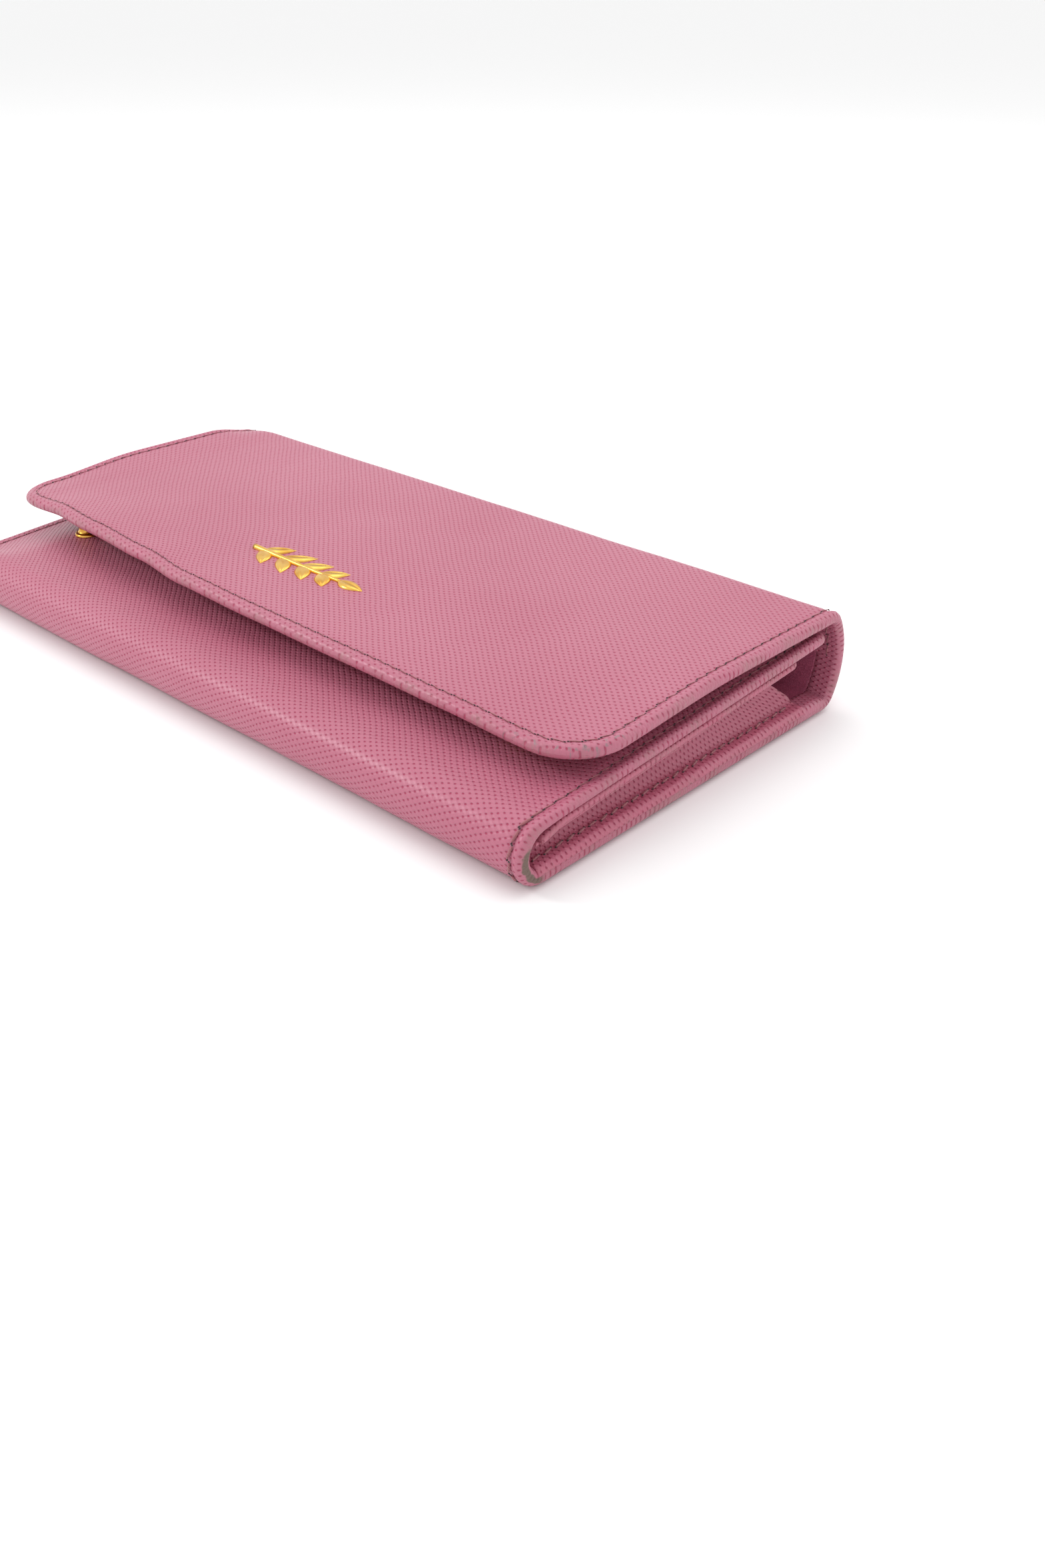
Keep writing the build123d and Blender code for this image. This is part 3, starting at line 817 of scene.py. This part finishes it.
def bead(bm, place, turn, sizes, segments, rings):
    """Small ellipsoid; sizes is the matrix that stretches it."""
    matrix = Matrix.Translation(place) @ turn @ sizes
    return bmesh.ops.create_uvsphere(bm, u_segments=segments, v_segments=rings, radius=1.0,
                                     matrix=matrix)["verts"]


def sew(name, stitches):
    """Threads, and dark beads at the needle holes that paint the shade inside them; each stitch is (middle,
    along, up, half length, half width).
    """
    bm = bmesh.new()
    for place, along, up, reach, width in stitches:
        side = up.cross(along).normalized()
        turn = Matrix((along, side, up)).transposed().to_4x4()
        thin = Matrix.Diagonal((reach, width, width, 1)) @ Matrix.Rotation(pi / 2, 4, "Y")
        bead(bm, place, turn, thin, 6, 5)
        for end in (-1, 1):
            # a dark bead at each end of the stitch paints the shade inside its needle hole
            hole = place + along * end * (reach + 0.04) + side * end * 0.10 - up * 0.02
            made = bead(bm, hole, turn, Matrix.Diagonal((0.26, 0.10 + 0.4 * width, 0.11, 1)), 6, 4)
            for f in {f for v in made for f in v.link_faces}:
                f.material_index = 1
    return new_piece(bm, name, [thread, painted_hole_shade])


def cover_stitches(cover, seam, choose=lambda x, s: True, mess=lambda x, s: 0.0, inside=False):
    """Stitches of one seam as they lie on a cover, or on its inner face."""
    for k in range(seam.count):
        length = (k + 0.5) * seam.step
        x, s = seam.at(length)
        if not cover.start <= s <= cover.end or not choose(x, s):
            continue
        xa, sa = seam.at(length - 0.4)
        xb, sb = seam.at(length + 0.4)
        here = cover.surface(x, s)
        along = (cover.surface(xb, sb) - cover.surface(xa, sa)).normalized()
        up = (cover.place(x, s, -1) - cover.place(x, s, 0)).normalized()
        if inside:
            here, up = cover.place(x, s, cover.sink(x, s, cover.edge_distance(x, s))), -up
        along = (along - up * along.dot(up)).normalized()
        jitter = noise.noise(Vector((x * 0.7, s * 0.7, 2.0)))
        rough = mess(x, s)
        slant = Matrix.Rotation(radians(-9) + jitter * (0.10 + 0.7 * rough), 3, up)
        yield (here + up * (0.04 + 0.10 * rough), slant @ along, up, 1.14 + 0.20 * rough,
               0.12 + 0.18 * rough + 0.03 * jitter)


def at_fold(x, s):
    """The stitches are coarse and crowded round the ends of the front fold."""
    return ease(fold_begin - 1, fold_begin + 4, s) * ease(fold_end + 4, fold_end - 2, s)


bend_flap(sew("flap_stitches", cover_stitches(flap_cover, flap_seam)))
bend_flap(sew("spine_inner_stitches", cover_stitches(
    flap_cover, flap_seam, choose=lambda x, s: s > flap_corner + 4, mess=lambda x, s: 0.25, inside=True)))
bend_back(sew("back_stitches", [st for seam in back_seams for st in cover_stitches(back_cover, seam)]))
bend_between(sew("front_stitches", cover_stitches(front_cover, panel_seam, mess=at_fold)), "back", "front",
             *front_fold)
window_stitches = sew("zip_window_stitches", cover_stitches(front_cover, window_seam))
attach(window_stitches, "front")
bend_flap(flap_leather)
bend_back(back_leather)
bend_between(front_leather, "back", "front", *front_fold)


# ---- linings and boards

def lined(cover, depth):
    """Places of a layer that follows a cover, at a depth under its outer face."""
    return lambda x, s, under: cover.place(x, s, depth + under - ripple(x, s))


inside = half - 6.5
flap_lining = soft_sheet("flap_lining_sheet", lined(flap_cover, 2.0), (-inside, inside, 6.5, spine_middle),
                         0.42, lining, radii=(5.6, 0), free=(1, 1, 1, 0),
                         replaces=["flap_lining", "spine_lining"])
bend_flap(flap_lining)
soft_sheet("flap_board_sheet", lined(flap_cover, 1.25), (-half + 3, half - 3, 3, run_ends[0]), 0.7, board,
           radii=(8.5, 0), step=8.0, slot="board", replaces=["flap_stiffener"], body="flap")
back_inside = half - 5.4
back_lining = soft_sheet("back_lining_sheet", lined(back_cover, 1.95),
                         (-back_inside, back_inside, spine_middle, fold_begin - 2.4), 0.4, lining,
                         free=(1, 1, 0, 1), replaces=["back_lining"])
bend_back(back_lining)
tape_clear = 10.5                           # from the zip to the front lining's two edges
soft_sheet("front_lining_sheet", lined(front_cover, 1.22),
           (-half + 3, half - 3, fold_end + 4, zip_s - tape_clear), 0.36, lining, step=5.0,
           replaces=["front_lining"], body="front")
soft_sheet("front_lining_rear_sheet", lined(front_cover, 1.22),
           (-half + 3, half - 3, zip_s + tape_clear, panel_end - 2.7), 0.36, lining, radii=(0, 1), step=5.0,
           body="front")


# ---- coin pocket's inner wall

coin_tilt = radians(2.25)
coin_lip = -5                               # the wall's front edge, tucked in before its straight part
coin_front, coin_rear = -38.0, 32.0
panel_top = panel_start[1] + (coin_front - panel_start[0]) * tan(front_tilt)
coin_top = panel_top - 1.6 / cos(front_tilt) - 0.1
coin_run = (coin_rear - coin_front) / cos(coin_tilt)


def hug(x, y):
    """How far the wall rises to lie against the front panel at either end."""
    return max(0.0, y - coin_front) * (tan(front_tilt) - tan(coin_tilt)) * ease(half - 15, half - 4, abs(x))


def on_coin_wall(x, s, depth):
    """Place on the wall; s runs back from the straight part's front end."""
    sag = ripple(x, s + 40, 0.25, 30) * ease(half - 3, half - 14, abs(x))
    y = coin_front + s * cos(coin_tilt) + depth * sin(coin_tilt)
    z = coin_top + s * sin(coin_tilt) - depth * cos(coin_tilt)
    z += sag * ease(0, 8, s) - 1.3 * ease(1, coin_lip, s) + hug(x, y) - pressed_end(x, y)
    return Vector((x, y, z))


def coin_underside(y):
    """Under face of the wall at its two ends."""
    return coin_top + (y - coin_front) * tan(coin_tilt) - 1.5 / cos(coin_tilt) + hug(half, y)


coin_seam = Seam([(edge_x, -3), (edge_x, coin_run - inset), (-edge_x, coin_run - inset), (-edge_x, -3)])
soft_sheet("coin_wall_sheet", lambda x, s, depth: on_coin_wall(x, s, depth + 0.22),
           (-half + 0.1, half - 0.1, coin_lip, coin_run), 1.3, inner_finish, radii=(0, 3),
           seams=[coin_seam], step=2.9, puff=0.12, slot="inner_leather", replaces=["coin_wall"], body="front")
soft_sheet("coin_lining_sheet", on_coin_wall, (-half + 6, half - 6, 2, coin_run - 5), 0.24, lining, step=6.0,
           replaces=["coin_lining"], body="front")


# ---- card pockets

card_front = -37
lip_inset = 1.6                             # a card leaf's stitches to its mouth


def on_back(x, s, depth):
    """Places over the back: s runs along Y."""
    return Vector((x, s, -depth + 0.5 * ripple(x, s)))


def raised(height):
    return lambda x, s, depth: on_back(x, s, depth - height)


soft_sheet("card_panel_sheet", raised(high("card_panel").z), (-half + 5.6, half - 5.6, card_front, 38), 0.5,
           lining, radii=(1, 3), step=4.0, replaces=["card_panel"], body="back")
for side_name, side in ends:
    for row in range(1, 5):
        name = f"card_leaf_{side_name}_{row}"
        near, far_edge = sorted((side * 0.5, side * (half - 7.8)))
        mouth = high(name).y
        crease = Seam([(near + 1.2, mouth - lip_inset), (far_edge - 1.2, mouth - lip_inset)])
        face = high(name).z + 0.06 * row
        soft_sheet(f"{name}_sheet", raised(face), (near, far_edge, card_front, mouth), 0.4, inner_finish,
                   radii=(0, 0.8), step=2.9, seams=[crease], puff=0.08, slot="inner_leather", replaces=[name],
                   body="back")
        steps = [(Vector((x, mouth - lip_inset, face - 0.16 + 0.5 * ripple(x, mouth))), Vector((1, 0, 0)),
                  Vector((0, 0, 1)), 1.0, 0.15)
                 for x in [near + 2 + pitch * k for k in range(int((far_edge - near - 3) / pitch))]]
        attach(sew(f"{name}_stitches", steps), "back")


# ---- gussets

def smoothed(points, rounds=3):
    """Polyline with its corners cut until it is smooth."""
    for _ in range(rounds):
        cut = [points[0]]
        for a, b in zip(points, points[1:]):
            cut += [a.lerp(b, 0.25), a.lerp(b, 0.75)]
        points = cut + [points[-1]]
    return points


gusset_front, gusset_rear = -44.0, 35.0
gusset_thick = 0.72
pleat_length = 32.0


def pleat_line(y, side):
    """Middle line (x, z) of a gusset at a place along Y."""
    floor, roof = 3.78, coin_underside(y) - gusset_thick / 2 - 0.5 * ease(coin_front, gusset_front, y)
    roof -= pressed_end(side * half, y)
    rise = roof - floor
    tip = half - 16.0 + 2.5 * ease(-20, gusset_front, y)
    inner_roof = roof - min(1.5, 0.4 * rise)
    points = [(half - 0.05, 2.4), (half - 0.35, 3.3), (half - 1.4, floor), (half - 2.8, floor - 0.25),
              (half - 4.0, floor + 0.25), (half - 5.2, floor + min(2.0, 0.36 * rise)),
              (half - 6.6, roof - min(2.0, 0.42 * rise)), (half - 9.0, inner_roof), (tip + 3.0, inner_roof),
              (tip, roof - 0.8), (tip + 3.0, roof - 0.2), (half - 6.0, roof), (half - 2.4, roof),
              (half - 0.6, roof)]
    return smoothed([Vector((side * x, z)) for x, z in points], 3)


def gusset_place(side):
    """Place of a gusset: q runs round the pleat, from the back to the coin pocket's wall."""
    lines = {}

    def place(q, y, depth):
        key = round(y, 4)
        if key not in lines:
            line = pleat_line(y, side)
            lengths = [0.0]
            for a, b in zip(line, line[1:]):
                lengths.append(lengths[-1] + (b - a).length)
            lines[key] = line, lengths
        line, lengths = lines[key]
        want = q / pleat_length * lengths[-1]
        index = max(i for i in range(len(line) - 1) if lengths[i] <= want + 1e-9)
        a, b = line[index], line[index + 1]
        t = (want - lengths[index]) / max(1e-9, lengths[index + 1] - lengths[index])
        here, along = a.lerp(b, min(1.0, t)), (b - a).normalized()
        up = Vector((-along.y, along.x)) * side
        wave = 0.30 * noise.noise(Vector((q / 7, y / 13, 5.0 + side))) * ease(3, 8, q) * ease(29, 24, q)
        here = here + up * (side * (depth - gusset_thick / 2) + wave)
        lean = 1.25 * max(0.0, here.y - 5.0) * ease(-5, gusset_rear, y)
        return Vector((here.x, y - lean, here.y))
    return place


for side_name, side in ends:
    gusset = soft_sheet(f"gusset_{side_name}_leather", gusset_place(side),
                        (0, pleat_length, gusset_front, gusset_rear), gusset_thick, inner_finish, step=1.3,
                        slot="inner_leather", replaces=[f"gusset_{side_name}"])
    bend_between(gusset, "back", "front", (0, 4.3), (0, 9.0))
    ragged = []
    for k in range(int((gusset_rear - gusset_front - 2) / pitch)):
        y = gusset_front + 2 + k * pitch
        jitter = noise.noise(Vector((y, side, 7.0)))
        up = Vector((0, 0, 1))
        ragged.append((Vector((side * (half - 2.5 + 0.25 * jitter), y, 4.22)),
                       Matrix.Rotation(0.25 * jitter + side * 0.15, 3, up) @ Vector((0, 1, 0)), up,
                       1.1 + 0.2 * jitter, 0.24 + 0.05 * jitter))
    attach(sew(f"gusset_{side_name}_stitches", ragged), "back")


# ---- metal: shapes turned or cut from plate

def metal_piece(bm, name, body, replaces, smooth=False):
    return new_piece(bm, name, [gold], body, replaces, "gold_metal", smooth)


def turned(bm, outline, turn=None, steps=32):
    """Turned shape from (radius, height) points that start and end on its axis."""
    made = [bm.verts.new((r, 0, z)) for r, z in outline]
    edges = [bm.edges.new(pair) for pair in zip(made, made[1:])]
    bmesh.ops.spin(bm, geom=made + edges, cent=(0, 0, 0), axis=(0, 0, 1), angle=2 * pi, steps=steps,
                   use_merge=True)
    bmesh.ops.remove_doubles(bm, verts=bm.verts, dist=0.001)
    if turn:
        move(bm, turn)
    outward(bm)


def on_panel(x, s, height=0.0):
    """Turn and place of something standing on the front panel."""
    place = front_cover.place(x, fold_end + s, -height)
    return Matrix.Translation(place) @ Matrix.Rotation(front_tilt, 4, "X")


socket_low, socket_high = low("snap_socket_right"), high("snap_socket_right")
snap_x, snap_y = (socket_low.x + socket_high.x) / 2, (socket_low.y + socket_high.y) / 2
base = (high("snap_stud_right").x - low("snap_stud_right").x) / 2            # radius of the stud's foot
shell = (socket_high.x - socket_low.x) / 2                                   # radius of the socket
snap_s = (snap_y - panel_start[0]) / cos(front_tilt)
for side_name, side in ends:
    x = side * snap_x
    bm = bmesh.new()
    turned(bm, [(0, -1.55), (base - 0.2, -1.55), (base - 0.1, -1.4), (1.6, -1.25), (1.6, 0.0),
                (base - 0.05, 0.02), (base, 0.25), (base - 0.2, 0.58), (base - 0.5, 0.72), (2.55, 0.62),
                (2.2, 0.80), (1.85, 1.3), (1.8, 2.2), (2.0, 2.9), (2.2, 3.4), (2.05, 3.8), (1.5, 4.15),
                (0.8, 4.25), (0, 4.28)],
           on_panel(x, snap_s, front_cover.lift(x, fold_end + snap_s, 20)))
    stands_for = [f"snap_stud_{side_name}"] + (["stud_plates"] if side > 0 else [])
    metal_piece(bm, f"stud_{side_name}", "front", stands_for, smooth=True)
    bm = bmesh.new()
    under = flap_cover.place(x, snap_y - flap_front, flap_thick - ripple(x, snap_y - flap_front))
    under.y = snap_y
    turned(bm, [(0, 0.62), (base - 0.2, 0.62), (base - 0.1, 0.5), (1.6, 0.4), (1.6, 0.05), (shell - 0.3, 0.0),
                (shell, -0.3), (shell, -1.5), (shell - 0.15, -2.05), (shell - 0.45, -2.3),
                (shell - 0.8, -2.38), (shell - 1.1, -2.25), (2.85, -2.0), (2.6, -1.7), (2.6, -0.4),
                (2.3, -0.32), (0, -0.3)],
           Matrix.Translation(under))
    stands_for = [f"snap_socket_{side_name}"] + (["socket_plates"] if side > 0 else [])
    metal_piece(bm, f"socket_{side_name}", "flap", stands_for, smooth=True)


def plate(bm, outline, low_z, high_z, bevel, hole=None):
    """Plate cut to an outline, with a round hole if asked, and its edges broken."""
    made = [bm.verts.new((x, y, low_z)) for x, y in outline]
    if hole:
        rim_edges = [bm.edges.new((made[i - 1], made[i])) for i in range(len(made))]
        ring = bmesh.ops.create_circle(bm, segments=len(outline), radius=hole[2], matrix=Matrix.Translation(
            (hole[0], hole[1], low_z)))["verts"]
        ring_edges = list({e for v in ring for e in v.link_edges})
        faces = bmesh.ops.bridge_loops(bm, edges=rim_edges + ring_edges)["faces"]
    else:
        faces = [bm.faces.new(made)]
    raised_part = bmesh.ops.extrude_face_region(bm, geom=faces)["geom"]
    bmesh.ops.translate(bm, vec=(0, 0, high_z - low_z),
                        verts=[g for g in raised_part if isinstance(g, bmesh.types.BMVert)])
    outward(bm)
    bm.normal_update()
    sharp = [e for e in bm.edges if len(e.link_faces) == 2 and e.calc_face_angle(0) > radians(50)
             and abs(e.verts[0].co.z - e.verts[1].co.z) < 1e-6]
    bmesh.ops.bevel(bm, geom=sharp, offset=bevel, segments=2, profile=0.5, affect="EDGES", material=-1)


slider_x = 68.0
slider_turn = on_panel(slider_x, zip_reach)


def nosed(x0, x1, half_wide, half_nose, count=10):
    """Outline that is wide at x0 and narrows to a rounded nose at x1."""
    points = [(x0, -half_wide + 0.9), (x0 + 0.9, -half_wide)]
    for i in range(count + 1):
        angle = -pi / 2 + pi * i / count
        points.append((x1 - half_nose + half_nose * cos(angle), half_nose * sin(angle)))
    return points + [(x0 + 0.9, half_wide), (x0, half_wide - 0.9)]


# Slider: two wings joined by a wedge, with flanges along their sides and a post for the puller
bm = bmesh.new()
wing = nosed(-4.5, 4.5, 3.6, 2.3)
plate(bm, wing, -0.5, 0.3, 0.25)
plate(bm, wing, -2.9, -2.3, 0.2)
for side in (-1, 1):
    flange = [(-3.4, side * 3.55), (2.2, side * 3.3), (2.2, side * 2.5), (-3.4, side * 2.6)][::side]
    for z0, z1 in ((-0.95, -0.4), (-2.4, -1.85)):
        plate(bm, flange, z0, z1, 0.12)
plate(bm, [(0.6, -0.25), (2.7, -0.25), (2.7, 0.25), (0.6, 0.25)], -2.4, -0.4, 0.08)
post = bmesh.new()
turned(post, [(0, -0.1), (0.8, -0.1), (0.8, 1.55), (1.5, 1.6), (1.6, 1.75), (1.45, 1.95), (0.8, 2.02),
              (0, 2.03)])
bm.from_mesh(as_mesh(post))
move(bm, slider_turn)
metal_piece(bm, "zip_slider_metal", "zip_slider", ["slider_body"])

bm = bmesh.new()
tab = []                                    # puller: a round eye that draws out into a long tongue
for i in range(32):
    angle = pi / 2 + 2 * pi * i / 32
    reach = -sin(angle)
    if reach <= 0:
        tab.append((2.55 * cos(angle), 2.55 * sin(angle)))
    else:
        tab.append((cos(angle) * (2.2 + 0.1 * reach), -12.7 * min(1, reach * 1.15) - 2.2 * reach ** 6))
plate(bm, tab, 0.62, 1.38, 0.18, hole=(0, 0, 1.15))
move(bm, slider_turn)
metal_piece(bm, "zip_puller", "pull_tab", ["pull_tab"])


# ---- zip

def zip_tape(side):
    """Place of a tape under the panel; s runs away from the teeth."""
    def place(x, s, depth):
        return front_cover.place(x, zip_s + side * s, 1.2 + depth)
    return place


def zip_metal(bm, name):
    new_piece(bm, f"{name}_metal", [tooth_gold], "front", [name], "zip_metal", smooth=False)


tooth_count, tooth_pitch = 67, 2.2
for side_name, side in (("front", -1), ("rear", 1)):
    soft_sheet(f"zip_tape_{side_name}_cloth", zip_tape(side), (-80, 80, 1.7, 11), 0.4, tape_cloth, step=4.0,
               slot="zip_tape", replaces=[f"zip_tape_{side_name}"], body="front")
    tooth = bmesh.new()
    bmesh.ops.create_cube(tooth, size=1)
    move(tooth, Matrix.Diagonal((1.15, 2.35, 1.3, 1)))
    for v in tooth.verts:
        if v.co.y < 0:
            v.co.x *= 0.72
            v.co.z *= 0.8
    bmesh.ops.bevel(tooth, geom=tooth.edges[:], offset=0.17, segments=1, profile=0.5, affect="EDGES",
                    material=-1)
    tooth_mesh = as_mesh(tooth)
    bm = bmesh.new()
    meshed = Matrix.Translation((0, side * 0.75, -1.4)) @ Matrix.Diagonal((1, side, 1, 1))
    for k in range(tooth_count):
        x = (k - tooth_count / 2) * tooth_pitch + (tooth_pitch / 2 if side > 0 else 0)
        before = set(bm.verts)
        bm.from_mesh(tooth_mesh)
        bmesh.ops.transform(bm, matrix=on_panel(x, zip_reach) @ meshed,
                            verts=[v for v in bm.verts if v not in before])
    outward(bm)
    zip_metal(bm, f"zip_teeth_{side_name}")
for side_name, side in ends:
    bm = bmesh.new()
    plate(bm, [(-1.4, -2.1), (1.4, -2.1), (1.4, 2.1), (-1.4, 2.1)], -2.05, -0.75, 0.3)
    move(bm, on_panel(side * 75.5, zip_reach))
    zip_metal(bm, f"zip_stop_{side_name}")


# ---- ornament: a plain leafy sprig

def domed_strip(bm, base, angle, length, wide, thick, groove=0.0, bow=0.0, along_steps=16, across_steps=8):
    """Domed leaf or stem on the flap, from its base along an angle.

    wide(t) is its half width and thick(t) its height, with t from 0 at its base to 1 at its tip.
    """
    part = bmesh.new()
    bmesh.ops.create_grid(part, x_segments=along_steps, y_segments=across_steps, size=1)
    for v in part.verts:
        t, across = (v.co.x + 1) / 2, v.co.y
        x, y = length * t, wide(t) * across + bow * sin(pi * t)
        px, py = base[0] + x * cos(angle) - y * sin(angle), base[1] + x * sin(angle) + y * cos(angle)
        dome = thick(t) * sqrt(max(0.0, 1 - across ** 2)) - groove * exp(-(across / 0.16) ** 2) * sin(pi * t)
        v.co = flap_cover.surface(px, py - flap_front, 0.10 + max(0.0, dome))
    bmesh.ops.solidify(part, geom=part.faces[:], thickness=0.22)
    outward(part)
    bm.from_mesh(as_mesh(part))


def leaf(wide):
    """Half width of a leaf, from its base to its tip."""
    return lambda t: wide * sin(pi * t ** 0.8) ** 0.9 + 0.02


def leaf_dome(t):
    return 0.62 * sin(pi * min(1, t + 0.08)) ** 0.5


sprig_y = -12.5
bm = bmesh.new()
for pair in range(4):
    for turn in (-1, 1):
        size = 1.0 - 0.09 * abs(pair - 1)
        domed_strip(bm, (-15.6 + pair * 6.4, sprig_y + turn * 0.3), turn * radians(42 - 2 * pair), 7.6 * size,
                    leaf(1.75), leaf_dome, groove=0.34, bow=turn * -0.5)
domed_strip(bm, (9.4, sprig_y), 0.0, 7.4, leaf(1.7), leaf_dome, groove=0.34)
domed_strip(bm, (-18.6, sprig_y), 0.0, 28.6, lambda t: 0.78 - 0.42 * t, lambda t: 0.78 - 0.3 * t,
            along_steps=40, across_steps=6)
metal_piece(bm, "sprig", "flap", ["emblem", "emblem_washers"], smooth=True)


# ---- frame pieces that stay, sealed inside

for name in ("back_stiffener", "spine_interlining"):
    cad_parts[name].data.materials.clear()
    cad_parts[name].data.materials.append(board)


# ---- floor, light and camera

bm = bmesh.new()
bmesh.ops.create_grid(bm, x_segments=1, y_segments=1, size=60.0)
floor = in_scene("floor", as_mesh(bm, "floor"))
floor.location.z = -0.0004
pale, _, floor_shader = finish_base("pale_floor")
floor_shader.inputs["Base Color"].default_value = (0.92, 0.92, 0.92, 1)
floor_shader.inputs["Roughness"].default_value = 0.9
floor.data.materials.append(pale)

world = bpy.data.worlds.new("studio")
bpy.context.scene.world = world
world.use_nodes = True
world.node_tree.nodes["Background"].inputs["Color"].default_value = (1.0, 1.0, 1.0, 1)
world.node_tree.nodes["Background"].inputs["Strength"].default_value = 1.0


def look(thing, heading):
    """Point a lamp or a camera along a heading, upright."""
    thing.rotation_mode = "QUATERNION"
    thing.rotation_quaternion = heading.to_track_quat("-Z", "Y")


def softbox(name, place, size, power):
    """Square lamp that faces the middle of the wallet."""
    light = bpy.data.lights.new(name, "AREA")
    light.shape, light.size, light.energy = "SQUARE", size, power
    lamp = in_scene(name, light)
    lamp.location = place
    look(lamp, -Vector(place))


softbox("overhead", (-0.10, 0.15, 0.9), 0.9, 2.8)
softbox("front_left", (-0.76, -0.62, 0.66), 0.20, 3.2)
softbox("rear", (0.3, 0.9, 0.45), 0.6, 1.2)

camera_data = bpy.data.cameras.new("camera")
camera = in_scene("camera", camera_data)
camera_data.sensor_fit, camera_data.sensor_width, camera_data.lens = "AUTO", 36.0, 31.98
camera_data.clip_start, camera_data.clip_end = 0.01, 200.0
yaw, dip = 0.752, 0.534
camera.location = Vector((222.66, -184.38, 132.49)) * mm
look(camera, Vector((-cos(dip) * sin(yaw), cos(dip) * cos(yaw), -sin(dip))))
bpy.context.scene.camera = camera
bpy.context.scene.view_settings.view_transform = "Standard"
